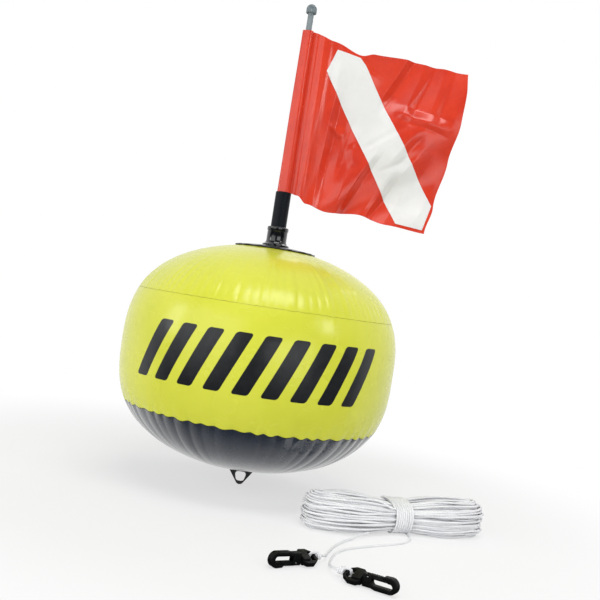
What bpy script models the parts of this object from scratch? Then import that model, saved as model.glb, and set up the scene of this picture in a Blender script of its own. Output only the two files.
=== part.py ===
"""An inflated dive flag float: a film body with a plug-in mast and its flag, and a hanked line with
a snap hook on each end. Metres, +Z up the mast, z = 0 at the lower seam, where the float meets the water.
"""

import math

import bmesh
import bpy
import numpy as np
from mathutils import Matrix, Vector

# Clearances, and how far a cutter runs past what it cuts
TOUCH_GAP = 0.0003
CUT_OVERRUN = 0.004
MERGE_DISTANCE = 0.000002

# Float body
FLOAT_RADIUS = 0.200
CROWN_RISE = 0.1688
BELLY_DROP = 0.1588
UPPER_SEAM_RISE = 0.0824
WATERLINE_DROP = 0.0772
CROWN_FULLNESS = 2.9
BELLY_FULLNESS = 2.7
FILM = 0.0012
SEAM_LIP = 0.006
FLOAT_SIDES = 40
PANEL_STEPS = 5

# Crown disc and mast socket
DISC_RADIUS = 0.059
DISC_FILM = 0.0016
SOCKET_RADIUS = 0.0150
SOCKET_WALL = 0.0027
SOCKET_HEIGHT = 0.0285
SOCKET_DEPTH = 0.034
SOCKET_FLOOR = 0.003
FLARE_RADIUS = 0.0198
FLARE_EDGE = 0.002
FLARE_HEIGHT = 0.0085
LIP_ROUND = 0.0013
ROUND_SIDES = 24

# Mast
TUBE_RADIUS = 0.0115
TUBE_CHAMFER = 0.0008
TUBE_REACH = 0.081
ROD_RADIUS = 0.0045
ROD_SHOW = 0.027
CAP_RADIUS = 0.0078
CAP_HEIGHT = 0.0136
CAP_SKIRT = 0.0016
CAP_HOLLOW = 0.0035
CAP_CROWN = 0.003
CAP_EDGE = 0.0006
PIN_RADIUS = 0.0018
PIN_INSET = 0.0008
PIN_DROP = 0.0066
ROD_SIDES = 16

# Flag
FLAG_HOIST = 0.2415
FLAG_FLY = 0.2497
FLAG_FILM = 0.0006
POCKET_FOOT_RADIUS = 0.0097
POCKET_HEAD_RADIUS = 0.0082
POCKET_SIDES = 12
FLAG_COLUMNS = 16
FLAG_ROWS = 10
FOLD_DEPTH = 0.0085
FOLD_COUNT = 3.5
POCKET_FOLD_DEPTH = 0.0045
FLY_SWING = 0.012
POCKET_FOLD_PLACE_SHARE = 0.075
POCKET_FOLD_REACH_SHARE = 0.05
FAN_ROOT_SHARES = (-0.25, -0.45)
TOP_EDGE_SHARES = [
    (0, 0),
    (0.13, -0.035),
    (0.32, -0.095),
    (0.40, -0.072),
    (0.62, -0.058),
    (0.82, -0.073),
    (1, -0.09),
]
FOOT_EDGE_SHARES = [
    (0, 0),
    (0.05, -0.008),
    (0.12, -0.05),
    (0.28, -0.08),
    (0.5, -0.061),
    (0.72, -0.098),
    (1, -0.117),
]
FLY_EDGE_SHARES = [(0, 0.869), (0.17, 0.906), (0.46, 0.956), (0.70, 0.993), (0.88, 1.0), (1, 0.993)]
STRIPE_FILM = 0.0004
STRIPE_CORNER_SHARES = [
    (0.142, 0.776),
    (0.190, 0.918),
    (0.332, 0.888),
    (0.368, 0.851),
    (0.893, 0.063),
    (0.852, -0.098),
    (0.690, -0.082),
]

# Tow tab under the float
TAB_ROOT_WIDTH = 0.050
TAB_DROP = 0.0272
TAB_THICKNESS = 0.003
TAB_TIP_RADIUS = 0.0065
TAB_HOLE_WIDTH = 0.018
TAB_HOLE_FOOT_SHARE = 0.6
TAB_HOLE_HEIGHT = 0.014
TAB_HOLE_ROUND = 0.005
TAB_HOLE_ABOVE_TIP = 0.0050
TAB_FOOT_LENGTH = 0.056
TAB_FOOT_WIDTH = 0.015
TAB_FOOT_FILM = 0.0014

# Inflation valve on the far side of the crown
VALVE_INSET = 0.075
VALVE_FLANGE_RADIUS = 0.016
VALVE_FLANGE = 0.0012
VALVE_SEAT_GAP = 0.0004
VALVE_DISH_RADIUS = 0.205
VALVE_STEM_RADIUS = 0.0062
VALVE_BORE_RADIUS = 0.0036
VALVE_RISE = 0.0105
VALVE_DROP = 0.005
VALVE_CAP_RADIUS = 0.0068
VALVE_CAP_THICKNESS = 0.0016
STOPPER_RADIUS = 0.0031
STOPPER_TIP_RADIUS = 0.0025
STOPPER_LENGTH = 0.0035
CAP_STRAP_WIDTH = 0.005
CAP_HINGE_OUT = 0.0030
CAP_LUG_HEIGHT = 0.004
CAP_STRAP_THICKNESS_SHARE = 0.8
FLAP_RADIUS = 0.0050
FLAP_FILM = 0.0006
FLAP_HINGE_OUT = 0.0058
FLAP_EAR_WIDTH = 0.004
FLAP_ARC_DEG = (115, 425)

# Line and its hank
LINE_RADIUS = 0.0015
HANK_HALF_LENGTH = 0.1305
HANK_HALF_WIDTH = 0.0415
WAIST_HALF_WIDTH = 0.0225
WAIST_REACH = 0.045
LOBE_STEP = 0.0075
WAIST_STEP = 0.0047
END_STEP = 0.0068
LAYER_EDGE_PITCH = 0.007
LAYER_CROWN_PITCH = 0.0142
WAIST_LAYER_PITCH = 0.0050
WAIST_CROWN_PITCH = 0.0072
WAIST_OUTER_LAYER_SHARE = 0.75
WRAP_HALF_WIDTH = 0.0280
WRAP_HALF_HEIGHT = 0.0165
WRAP_PITCH = 0.0037
WRAP_START = -0.0105
HANK_START = -0.040
HANK_ROUNDNESS = 0.65
WRAP_ROUNDNESS = 0.80
RING_ROUNDNESS = 0.50
HANK_LAYERS = 4
LOOPS_PER_LAYER = 4
CLIMB_TURNS = 0.5
LOOP_POINTS = 24
WRAP_TURNS = 5
WRAP_START_DEG = 40
HANK_SPOT = (0.2105, -0.132)
HANK_YAW_DEG = 18
ROUTE_STEP = 0.0075
ROUTE_FINENESS = 12
LINE_LEAST_GAP = 0.0004

# The free ends' routes, as places on the surface and heights above it
TAIL_A_ROUTE = [
    (0.1555, -0.1985, 0.0040),
    (0.1478, -0.2067, 0.0017),
    (0.1385, -0.2200, 0.0016),
    (0.1305, -0.2327, 0.0016),
    (0.1233, -0.2480, 0.0016),
    (0.1180, -0.2680, 0.0017),
    (0.1145, -0.2870, 0.0028),
    (0.1105, -0.3010, 0.0050),
]
TAIL_B_ROUTE = [
    (0.2290, -0.1560, 0.0016),
    (0.2270, -0.1730, 0.0016),
    (0.2140, -0.1930, 0.0016),
    (0.1886, -0.2116, 0.0016),
    (0.1625, -0.2307, 0.0016),
    (0.1409, -0.2494, 0.0016),
    (0.1290, -0.2720, 0.0016),
    (0.1220, -0.2960, 0.0017),
    (0.1145, -0.3200, 0.0028),
    (0.1105, -0.3365, 0.0052),
]

# Snap hooks, along their own length from the eye's outer bar
EYE_LENGTH = 0.0218
EYE_WIDTH = 0.024
EYE_BAR_WIDTH = 0.0115
EYE_WIDEST = 0.0085
EYE_SHOULDER_WIDTH = 0.0165
EYE_THICKNESS = 0.0052
EYE_ROUND = 0.0022
EYE_BAR = 0.0040
SLOT_LENGTH = 0.0066
SLOT_WIDTH = 0.0140
SLOT_ROUND = 0.0014
BLOCK_WIDTH = 0.0150
BLOCK_THICKNESS = 0.0088
BLOCK_ROUND = 0.0025
EDGE_ROUND = 0.0007
BEVEL_ANGLE_DEG = 50
SHAFT_RADIUS = 0.0019
SHAFT_HEAD_RADIUS = 0.0029
SHAFT_HEAD = 0.0020
HOOK_LENGTH = 0.062
HOOK_THICKNESS = 0.0084
KNUCKLE_WIDTH = 0.0135
KNUCKLE_LENGTH = 0.0105
SPINE = 0.0046
SLOT_HEIGHT = 0.0060
HOOK_END_RADIUS = 0.0085
NOSE = 0.0036
NOSE_LENGTH = 0.0080
GATE_THICKNESS = 0.0054
GATE_TIP = 0.0025
GATE_TIP_LENGTH = 0.0052
GATE_LEVER = 0.0048
GATE_ROOT_RADIUS = 0.0025
GATE_PIVOT_IN = 0.0062
GATE_PIVOT_DROP = 0.0042
GATE_PIN_RADIUS = 0.0009
GATE_PIN_PLAY = 0.0002
FORK_BACK = 0.0034
SPRING_LEAF = 0.0003
SPRING_WIDTH = 0.0036
SPRING_RISE = 0.0026
HOOK_ARC_STEPS = 8

# Where each hook lies: its bar, the height of its axis there, and how it is turned
EYE_LIFT = 0.0068
HOOK_PITCH_DEG = 2.7
EYE_ROLL_DEG = 20
HOOK_ROLL_DEG = 90
HOOK_A_SPOT = (0.0946, -0.3154)
HOOK_A_YAW_DEG = 215
HOOK_B_SPOT = (0.1250, -0.3527)
HOOK_B_YAW_DEG = -35
KNOT_RADIUS = 0.0046
KNOT_STRETCH = 1.15
KNOT_OFFSET = 0.0026
RING_STEPS = 12
RING_SIDES = 6
SMALL_SIDES = 12

# Places that follow from the sizes above
EQUATOR_Z = WATERLINE_DROP
UPPER_SEAM_Z = EQUATOR_Z + UPPER_SEAM_RISE
LOWER_SEAM_Z = EQUATOR_Z - WATERLINE_DROP
CROWN_Z = EQUATOR_Z + CROWN_RISE
BELLY_Z = EQUATOR_Z - BELLY_DROP
DISC_TOP_Z = CROWN_Z + TOUCH_GAP + DISC_FILM
SOCKET_LIP_Z = DISC_TOP_Z + SOCKET_HEIGHT
SOCKET_FLOOR_Z = DISC_TOP_Z - SOCKET_DEPTH
VALVE_OUT = FLOAT_RADIUS - VALVE_INSET
VALVE_WALL = VALVE_STEM_RADIUS - VALVE_BORE_RADIUS
SOCKET_BORE = TUBE_RADIUS + TOUCH_GAP
SPIGOT_RADIUS = SOCKET_BORE + SOCKET_WALL
TUBE_TOP_Z = DISC_TOP_Z + TUBE_REACH
FLAG_FOOT_Z = TUBE_TOP_Z + TOUCH_GAP
FLAG_HEAD_Z = FLAG_FOOT_Z + FLAG_HOIST
CAP_FOOT_Z = FLAG_HEAD_Z + ROD_SHOW
CAP_TOP_Z = CAP_FOOT_Z + CAP_HEIGHT
TAB_TIP_Z = BELLY_Z - TAB_DROP
SURFACE_Z = TAB_TIP_Z - TOUCH_GAP


def clear_scene():
    for old in list(bpy.data.objects):
        bpy.data.objects.remove(old, do_unlink=True)


def finish(name, colour, roughness, metallic=0.0):
    """A plain surface in the piece's own colour."""
    material = bpy.data.materials.new(name)
    material.use_nodes = True
    shader = material.node_tree.nodes["Principled BSDF"]
    shader.inputs["Base Color"].default_value = (*colour, 1.0)
    shader.inputs["Roughness"].default_value = roughness
    shader.inputs["Metallic"].default_value = metallic
    return material


def add_object(name, data, material=None, parent=None):
    piece = bpy.data.objects.new(name, data)
    bpy.context.scene.collection.objects.link(piece)
    if material:
        data.materials.append(material)
    piece.parent = parent
    return piece


def add_mesh(name, bm, material=None, parent=None, sharp_deg=35):
    """The finished mesh as an object, smooth but for its edges."""
    bmesh.ops.remove_doubles(bm, verts=bm.verts, dist=MERGE_DISTANCE)
    bmesh.ops.recalc_face_normals(bm, faces=bm.faces)
    mesh = bpy.data.meshes.new(name)
    bm.to_mesh(mesh)
    bm.free()
    mesh.shade_smooth()
    mesh.set_sharp_from_angle(angle=math.radians(sharp_deg))
    return add_object(name, mesh, material, parent)


def add_empty(name, matrix, parent=None):
    """A joint's axis or a piece's seat, placed in its parent's frame."""
    empty = add_object(name, None, parent=parent)
    empty.matrix_local = matrix
    return empty


def turned(name, outline, sides, material=None, parent=None):
    """Spins an outline of (radius, height) points round the Z axis. It is closed, or ends on the axis."""
    bm = bmesh.new()
    verts = [bm.verts.new((radius, 0, height)) for radius, height in outline]
    ends_on_axis = outline[0][0] == 0
    pairs = list(zip(verts, verts[1:]))
    if not ends_on_axis:
        pairs.append((verts[-1], verts[0]))
    edges = [bm.edges.new(pair) for pair in pairs]
    bmesh.ops.spin(
        bm, geom=verts + edges, cent=(0, 0, 0), axis=(0, 0, 1), angle=math.tau, steps=sides, use_merge=True
    )
    return add_mesh(name, bm, material, parent)


def extruded(name, outline, low, high, material=None, parent=None):
    """Raises a flat outline of (x, y) points from one height to another."""
    bm = bmesh.new()
    face = bm.faces.new([bm.verts.new((x, y, low)) for x, y in outline])
    raised = bmesh.ops.extrude_face_region(bm, geom=[face])
    moved = [item for item in raised["geom"] if isinstance(item, bmesh.types.BMVert)]
    bmesh.ops.translate(bm, verts=moved, vec=(0, 0, high - low))
    return add_mesh(name, bm, material, parent)


def rod_mesh(name, radius, start, end, sides, material=None, parent=None):
    """A round bar between two points."""
    start, end = Vector(start), Vector(end)
    bm = bmesh.new()
    turn = (end - start).to_track_quat("Z", "Y").to_matrix().to_4x4()
    place = Matrix.Translation((start + end) / 2) @ turn
    bmesh.ops.create_cone(
        bm, cap_ends=True, segments=sides, radius1=radius, radius2=radius, depth=(end - start).length, matrix=place
    )
    return add_mesh(name, bm, material, parent)


def arc(centre, radius, start_deg, end_deg, steps):
    """Points of a circle's arc, from one angle to another."""
    angles = [math.radians(start_deg + (end_deg - start_deg) * step / steps) for step in range(steps + 1)]
    return [(centre[0] + radius * math.cos(angle), centre[1] + radius * math.sin(angle)) for angle in angles]


def rounded(outline, radius, steps=3):
    """Replaces each corner of a flat outline by a small arc."""
    points = []
    for index, corner in enumerate(outline):
        corner = Vector(corner)
        before = Vector(outline[index - 1]) - corner
        after = Vector(outline[(index + 1) % len(outline)]) - corner
        half = before.angle(after) / 2
        reach = min(radius / math.tan(half), before.length / 2, after.length / 2)
        start = corner + before.normalized() * reach
        end = corner + after.normalized() * reach
        for step in range(steps + 1):
            share = step / steps
            bend = start.lerp(corner, share).lerp(corner.lerp(end, share), share)
            points.append((bend.x, bend.y))
    return points


def cutter(piece):
    piece.hide_render = True
    piece.display_type = "WIRE"
    return piece


def boolean(piece, operation, other):
    step = piece.modifiers.new(operation.title(), "BOOLEAN")
    step.operation = operation
    step.object = cutter(other)
    step.solver = "EXACT"


def bevelled(piece, width, segments=1):
    step = piece.modifiers.new("Bevel", "BEVEL")
    step.width = width
    step.segments = segments
    step.limit_method = "ANGLE"
    step.angle_limit = math.radians(BEVEL_ANGLE_DEG)


def shell_radius(height):
    """The float's outer radius at a height."""
    rise = height - EQUATOR_Z
    reach, fullness = (CROWN_RISE, CROWN_FULLNESS) if rise > 0 else (BELLY_DROP, BELLY_FULLNESS)
    return FLOAT_RADIUS * math.sqrt(max(0, 1 - (abs(rise) / reach) ** fullness))


def crown_height(radius):
    """The height of the float's upper side at a radius."""
    return EQUATOR_Z + CROWN_RISE * (1 - (radius / FLOAT_RADIUS) ** 2) ** (1 / CROWN_FULLNESS)


def belly_height(radius):
    """The height of the float's underside at a radius."""
    return EQUATOR_Z - BELLY_DROP * (1 - (radius / FLOAT_RADIUS) ** 2) ** (1 / BELLY_FULLNESS)


def shell_normal(height):
    """The outward direction of the float's side at a height, as (radius, height)."""
    rise = height - EQUATOR_Z
    reach, fullness = (CROWN_RISE, CROWN_FULLNESS) if rise > 0 else (BELLY_DROP, BELLY_FULLNESS)
    outward = Vector((
        2 * shell_radius(height) / FLOAT_RADIUS**2,
        math.copysign(fullness * (abs(rise) / reach) ** (fullness - 1) / reach, rise),
    ))
    return outward.normalized()


def inside_film(height, film):
    """The point of the film's inner side behind the outer side at a height."""
    outward = shell_normal(height)
    return shell_radius(height) - film * outward.x, height - film * outward.y


def top_panel_outline():
    seam = UPPER_SEAM_Z + TOUCH_GAP / 2
    hole = SPIGOT_RADIUS + TOUCH_GAP
    seam_radius = shell_radius(seam)
    shares = [math.sin(math.pi / 2 * step / PANEL_STEPS) for step in range(PANEL_STEPS)]
    radii = [hole + (seam_radius - hole) * share for share in shares]
    heights = [crown_height(radius) for radius in radii]
    above_lip = seam + FILM * (1 + shell_normal(seam).y)
    outer = list(zip(radii, heights)) + [(seam_radius, seam)]
    lip = [(seam_radius - SEAM_LIP, seam), (seam_radius - SEAM_LIP, seam + FILM)]
    inner = [inside_film(above_lip, FILM)] + [inside_film(height, FILM) for height in reversed(heights[1:])]
    return outer + lip + inner + [(hole, heights[0] - FILM)]


def side_band_outline():
    top = UPPER_SEAM_Z - TOUCH_GAP / 2
    foot = LOWER_SEAM_Z + TOUCH_GAP / 2
    top_radius, foot_radius = shell_radius(top), shell_radius(foot)
    heights = [top + (foot - top) * step / PANEL_STEPS for step in range(PANEL_STEPS + 1)]
    outer = [(shell_radius(height), height) for height in heights]
    foot_lip = [(foot_radius - SEAM_LIP, foot), (foot_radius - SEAM_LIP, foot + FILM)]
    top_lip = [(top_radius - SEAM_LIP, top - FILM), (top_radius - SEAM_LIP, top)]
    above_foot = foot + FILM * (1 + shell_normal(foot).y)
    below_top = top - FILM * (1 - shell_normal(top).y)
    inner_heights = [above_foot] + heights[-2:0:-1] + [below_top]
    return outer + foot_lip + [inside_film(height, FILM) for height in inner_heights] + top_lip


def bottom_panel_outline():
    seam = LOWER_SEAM_Z - TOUCH_GAP / 2
    seam_radius = shell_radius(seam)
    shares = [math.sin(math.pi / 2 * step / PANEL_STEPS) for step in range(1, PANEL_STEPS)]
    heights = [belly_height(seam_radius * share) for share in shares]
    below_lip = seam - FILM * (1 - shell_normal(seam).y)
    outer = [(0, BELLY_Z)] + [(shell_radius(height), height) for height in heights] + [(seam_radius, seam)]
    lip = [(seam_radius - SEAM_LIP, seam), (seam_radius - SEAM_LIP, seam - FILM)]
    inner = [inside_film(below_lip, FILM)] + [inside_film(height, FILM) for height in reversed(heights)]
    return outer + lip + inner + [(0, BELLY_Z + FILM)]


def make_float(finishes, valve_seat):
    top_panel = turned("top_panel", top_panel_outline(), FLOAT_SIDES, finishes["yellow"])
    turned("side_band", side_band_outline(), FLOAT_SIDES, finishes["yellow"])
    turned("bottom_panel", bottom_panel_outline(), FLOAT_SIDES, finishes["slate"])
    valve_hole = rod_mesh(
        "valve_hole",
        VALVE_STEM_RADIUS + TOUCH_GAP,
        (0, 0, -VALVE_DROP - CUT_OVERRUN),
        (0, 0, CUT_OVERRUN),
        ROUND_SIDES,
        parent=valve_seat,
    )
    boolean(top_panel, "DIFFERENCE", valve_hole)


def make_top_disc(material):
    """The black disc, dished over the crown."""
    hole = SPIGOT_RADIUS + TOUCH_GAP
    radii = [hole + (DISC_RADIUS - hole) * step / 2 for step in range(3)]
    under = [(radius, crown_height(radius) + TOUCH_GAP) for radius in radii]
    over = [(radius, height + DISC_FILM) for radius, height in reversed(under)]
    turned("top_disc", under + over, FLOAT_SIDES, material)


def make_socket(material):
    """A blind socket with a hollow-sided flared foot and a rolled lip."""
    foot = DISC_TOP_Z + TOUCH_GAP
    flare_top = foot + FLARE_HEIGHT
    flare = [
        (
            SOCKET_RADIUS + (FLARE_RADIUS - SOCKET_RADIUS) * (1 - math.sin(math.pi / 2 * step / 4)),
            foot + FLARE_EDGE + (flare_top - foot - FLARE_EDGE) * (1 - math.cos(math.pi / 2 * step / 4)),
        )
        for step in range(5)
    ]
    lip = arc((SOCKET_RADIUS - LIP_ROUND, SOCKET_LIP_Z - LIP_ROUND), LIP_ROUND, 0, 90, 3)
    outline = [
        (0, SOCKET_FLOOR_Z - SOCKET_FLOOR),
        (SPIGOT_RADIUS, SOCKET_FLOOR_Z - SOCKET_FLOOR),
        (SPIGOT_RADIUS, foot),
        (FLARE_RADIUS, foot),
        *flare,
        *lip,
        (SOCKET_BORE, SOCKET_LIP_Z),
        (SOCKET_BORE, SOCKET_FLOOR_Z),
        (0, SOCKET_FLOOR_Z),
    ]
    turned("mast_socket", outline, ROUND_SIDES, material)


def make_mast(finishes):
    foot = SOCKET_FLOOR_Z + TOUCH_GAP
    bore = ROD_RADIUS + TOUCH_GAP
    tube = [
        (bore, foot),
        (TUBE_RADIUS - TUBE_CHAMFER, foot),
        (TUBE_RADIUS, foot + TUBE_CHAMFER),
        (TUBE_RADIUS, TUBE_TOP_Z - TUBE_CHAMFER),
        (TUBE_RADIUS - TUBE_CHAMFER, TUBE_TOP_Z),
        (bore, TUBE_TOP_Z),
    ]
    turned("mast_tube", tube, ROUND_SIDES, finishes["black"])
    pin_z = CAP_TOP_Z - PIN_DROP
    rod_top = CAP_TOP_Z - CAP_CROWN - TOUCH_GAP
    rod = rod_mesh("mast_rod", ROD_RADIUS, (0, 0, foot), (0, 0, rod_top), ROD_SIDES, finishes["grey"])
    shoulder = CAP_TOP_Z - CAP_RADIUS
    cap = turned(
        "mast_cap",
        [
            (0, CAP_TOP_Z),
            *reversed(arc((0, shoulder), CAP_RADIUS, 0, 72, 4)),
            (CAP_RADIUS, CAP_FOOT_Z + CAP_EDGE),
            (CAP_RADIUS - CAP_EDGE, CAP_FOOT_Z),
            (CAP_RADIUS - CAP_SKIRT, CAP_FOOT_Z),
            (CAP_RADIUS - CAP_SKIRT, CAP_FOOT_Z + CAP_HOLLOW),
            (bore, CAP_FOOT_Z + CAP_HOLLOW),
            (bore, CAP_TOP_Z - CAP_CROWN),
            (0, CAP_TOP_Z - CAP_CROWN),
        ],
        ROD_SIDES,
        finishes["grey"],
    )
    reach = CAP_RADIUS + CUT_OVERRUN
    for piece in (rod, cap):
        hole = rod_mesh(
            piece.name + "_pin_hole",
            PIN_RADIUS + TOUCH_GAP,
            (0, -reach, pin_z),
            (0, reach, pin_z),
            SMALL_SIDES,
        )
        boolean(piece, "DIFFERENCE", hole)
    half_pin = CAP_RADIUS - PIN_INSET
    rod_mesh("cap_pin", PIN_RADIUS, (0, -half_pin, pin_z), (0, half_pin, pin_z), SMALL_SIDES, finishes["grey"])


def read_table(table, share):
    """A value between the rows of a table, eased from one to the next."""
    for (low, low_value), (high, high_value) in zip(table, table[1:]):
        if share <= high:
            part = (share - low) / (high - low)
            eased = part * part * (3 - 2 * part)
            return low_value + (high_value - low_value) * eased
    return table[-1][1]


def pocket_radius(rise):
    return POCKET_FOOT_RADIUS + (POCKET_HEAD_RADIUS - POCKET_FOOT_RADIUS) * rise


def flag_depth(run, rise):
    """How far the flag folds out of its flat, at shares of its fly and hoist."""
    spread = math.atan2(rise - FAN_ROOT_SHARES[1], run - FAN_ROOT_SHARES[0]) / (math.pi / 2)
    fan = math.sin(math.tau * FOLD_COUNT * spread) * FOLD_DEPTH * run**0.7
    beside_pocket = math.exp(-(((run - POCKET_FOLD_PLACE_SHARE) / POCKET_FOLD_REACH_SHARE) ** 2))
    rooted = min(1, run / POCKET_FOLD_PLACE_SHARE)
    return (fan - POCKET_FOLD_DEPTH * beside_pocket) * rooted + FLY_SWING * run * run


def flag_point(run, rise):
    """A point of the flag's middle plane, at shares of its fly and hoist."""
    root = math.sqrt(pocket_radius(rise) ** 2 - (FLAG_FILM / 2) ** 2)
    fly = FLAG_FLY * read_table(FLY_EDGE_SHARES, rise)
    sag = FLAG_HOIST * (
        rise * read_table(TOP_EDGE_SHARES, run) + (1 - rise) * read_table(FOOT_EDGE_SHARES, run)
    )
    return Vector((root + (fly - root) * run, flag_depth(run, rise), FLAG_FOOT_Z + FLAG_HOIST * rise + sag))


def make_flag_sheet(material):
    """The flag's film with its pocket, skinned row by row as one closed body."""
    bm = bmesh.new()
    rows = []
    for row in range(FLAG_ROWS + 1):
        rise = row / FLAG_ROWS
        height = FLAG_FOOT_Z + FLAG_HOIST * rise
        outer_radius = pocket_radius(rise)
        opening = math.asin(FLAG_FILM / 2 / outer_radius)
        turns = [opening + (math.tau - 2 * opening) * side / (POCKET_SIDES - 1) for side in range(POCKET_SIDES)]
        ring = {
            radius: [bm.verts.new((radius * math.cos(turn), radius * math.sin(turn), height)) for turn in turns]
            for radius in (outer_radius, outer_radius - FLAG_FILM)
        }
        outer, inner = ring[outer_radius], ring[outer_radius - FLAG_FILM]
        middle = [flag_point(column / FLAG_COLUMNS, rise) for column in range(1, FLAG_COLUMNS + 1)]
        half_film = Vector((0, FLAG_FILM / 2, 0))
        front = [outer[-1]] + [bm.verts.new(point - half_film) for point in middle]
        back = [outer[0]] + [bm.verts.new(point + half_film) for point in middle]
        rows.append((outer, inner, front, back))
    for low, high in zip(rows, rows[1:]):
        for strip_low, strip_high in zip(low, high):
            for index in range(len(strip_low) - 1):
                bm.faces.new((strip_low[index], strip_low[index + 1], strip_high[index + 1], strip_high[index]))
        bm.faces.new((low[1][-1], low[1][0], high[1][0], high[1][-1]))
        bm.faces.new((low[2][-1], low[3][-1], high[3][-1], high[2][-1]))
    for outer, inner, front, back in (rows[0], rows[-1]):
        for index in range(POCKET_SIDES - 1):
            bm.faces.new((outer[index], outer[index + 1], inner[index + 1], inner[index]))
        bm.faces.new((outer[-1], outer[0], inner[0], inner[-1]))
        for index in range(FLAG_COLUMNS):
            bm.faces.new((front[index], front[index + 1], back[index + 1], back[index]))
    bmesh.ops.triangulate(bm, faces=bm.faces, quad_method="FIXED")
    return add_mesh("flag_sheet", bm, material, sharp_deg=60)


def make_stripe(name, side, material):
    """The white diagonal on one face: the flag's own folds, cut to the stripe and lifted off the film."""
    bm = bmesh.new()
    grid = [
        [bm.verts.new(flag_point(column / FLAG_COLUMNS, row / FLAG_ROWS)) for column in range(1, FLAG_COLUMNS + 1)]
        for row in range(FLAG_ROWS + 1)
    ]
    for low, high in zip(grid, grid[1:]):
        for index in range(FLAG_COLUMNS - 1):
            bm.faces.new((low[index], low[index + 1], high[index + 1], high[index]))
    bmesh.ops.triangulate(bm, faces=bm.faces, quad_method="FIXED")
    corners = [
        Vector((FLAG_FLY * run, 0, FLAG_FOOT_Z + FLAG_HOIST * rise)) for run, rise in STRIPE_CORNER_SHARES
    ]
    for index, corner in enumerate(corners):
        along = corners[(index + 1) % len(corners)] - corner
        outward = Vector((-along.z, 0, along.x))
        everything = bm.verts[:] + bm.edges[:] + bm.faces[:]
        bmesh.ops.bisect_plane(bm, geom=everything, plane_co=corner, plane_no=outward, clear_outer=True)
    lift = FLAG_FILM / 2 + TOUCH_GAP
    bmesh.ops.translate(bm, verts=bm.verts, vec=(0, side * lift, 0))
    grown = bmesh.ops.extrude_face_region(bm, geom=bm.faces[:])
    outer = [item for item in grown["geom"] if isinstance(item, bmesh.types.BMVert)]
    bmesh.ops.translate(bm, verts=outer, vec=(0, side * STRIPE_FILM, 0))
    return add_mesh(name, bm, material, sharp_deg=60)


def make_tow_tab(material):
    """A tab with a hole, on a foot that follows the belly."""
    hole_foot = TAB_TIP_Z + TAB_HOLE_ABOVE_TIP
    foot_top = BELLY_Z + CUT_OVERRUN
    tip_centre = (0, TAB_TIP_Z + TAB_TIP_RADIUS)
    lean_deg = math.degrees(math.atan2(TAB_ROOT_WIDTH / 2 - TAB_TIP_RADIUS, BELLY_Z - tip_centre[1]))
    outline = [(-TAB_ROOT_WIDTH / 2, foot_top), *arc(tip_centre, TAB_TIP_RADIUS, 180 + lean_deg, 360 - lean_deg, 8)]
    outline.append((TAB_ROOT_WIDTH / 2, foot_top))
    upright = add_empty("tow_tab_seat", Matrix.Rotation(math.pi / 2, 4, "X"))
    tab = extruded("tow_tab", outline, -TAB_THICKNESS / 2, TAB_THICKNESS / 2, material, upright)
    foot_shape = rounded(
        [
            (-TAB_FOOT_LENGTH / 2, -TAB_FOOT_WIDTH / 2),
            (TAB_FOOT_LENGTH / 2, -TAB_FOOT_WIDTH / 2),
            (TAB_FOOT_LENGTH / 2, TAB_FOOT_WIDTH / 2),
            (-TAB_FOOT_LENGTH / 2, TAB_FOOT_WIDTH / 2),
        ],
        TAB_FOOT_WIDTH / 2,
    )
    foot = extruded("tab_foot", foot_shape, BELLY_Z - CUT_OVERRUN, foot_top)
    seat_radii = [TAB_FOOT_LENGTH * step / 3 for step in range(4)]
    seat = [(radius, belly_height(radius) - TOUCH_GAP) for radius in seat_radii]
    under = [(radius, height - TAB_FOOT_FILM) for radius, height in reversed(seat)]
    dish = turned("tab_dish", seat + under, ROUND_SIDES)
    boolean(foot, "INTERSECT", dish)
    boolean(tab, "UNION", foot)
    above = [*seat, (seat[-1][0], foot_top + CUT_OVERRUN), (0, foot_top + CUT_OVERRUN)]
    boolean(tab, "DIFFERENCE", turned("tab_seat_cut", above, ROUND_SIDES))
    half_hole = TAB_HOLE_WIDTH / 2
    hole_shape = rounded(
        [
            (-half_hole * TAB_HOLE_FOOT_SHARE, hole_foot),
            (half_hole * TAB_HOLE_FOOT_SHARE, hole_foot),
            (half_hole, hole_foot + TAB_HOLE_HEIGHT),
            (-half_hole, hole_foot + TAB_HOLE_HEIGHT),
        ],
        TAB_HOLE_ROUND,
    )
    hole = extruded("tab_hole", hole_shape, -CUT_OVERRUN, CUT_OVERRUN, parent=upright)
    boolean(tab, "DIFFERENCE", hole)


def valve_matrix():
    """The valve's seat on the crown: square to the film, with its own Y running downhill."""
    height = crown_height(VALVE_OUT)
    outward = shell_normal(height)
    tilt = math.atan2(outward.x, outward.y)
    return Matrix.Translation((0, VALVE_OUT, height)) @ Matrix.Rotation(-tilt, 4, "X")


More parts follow.
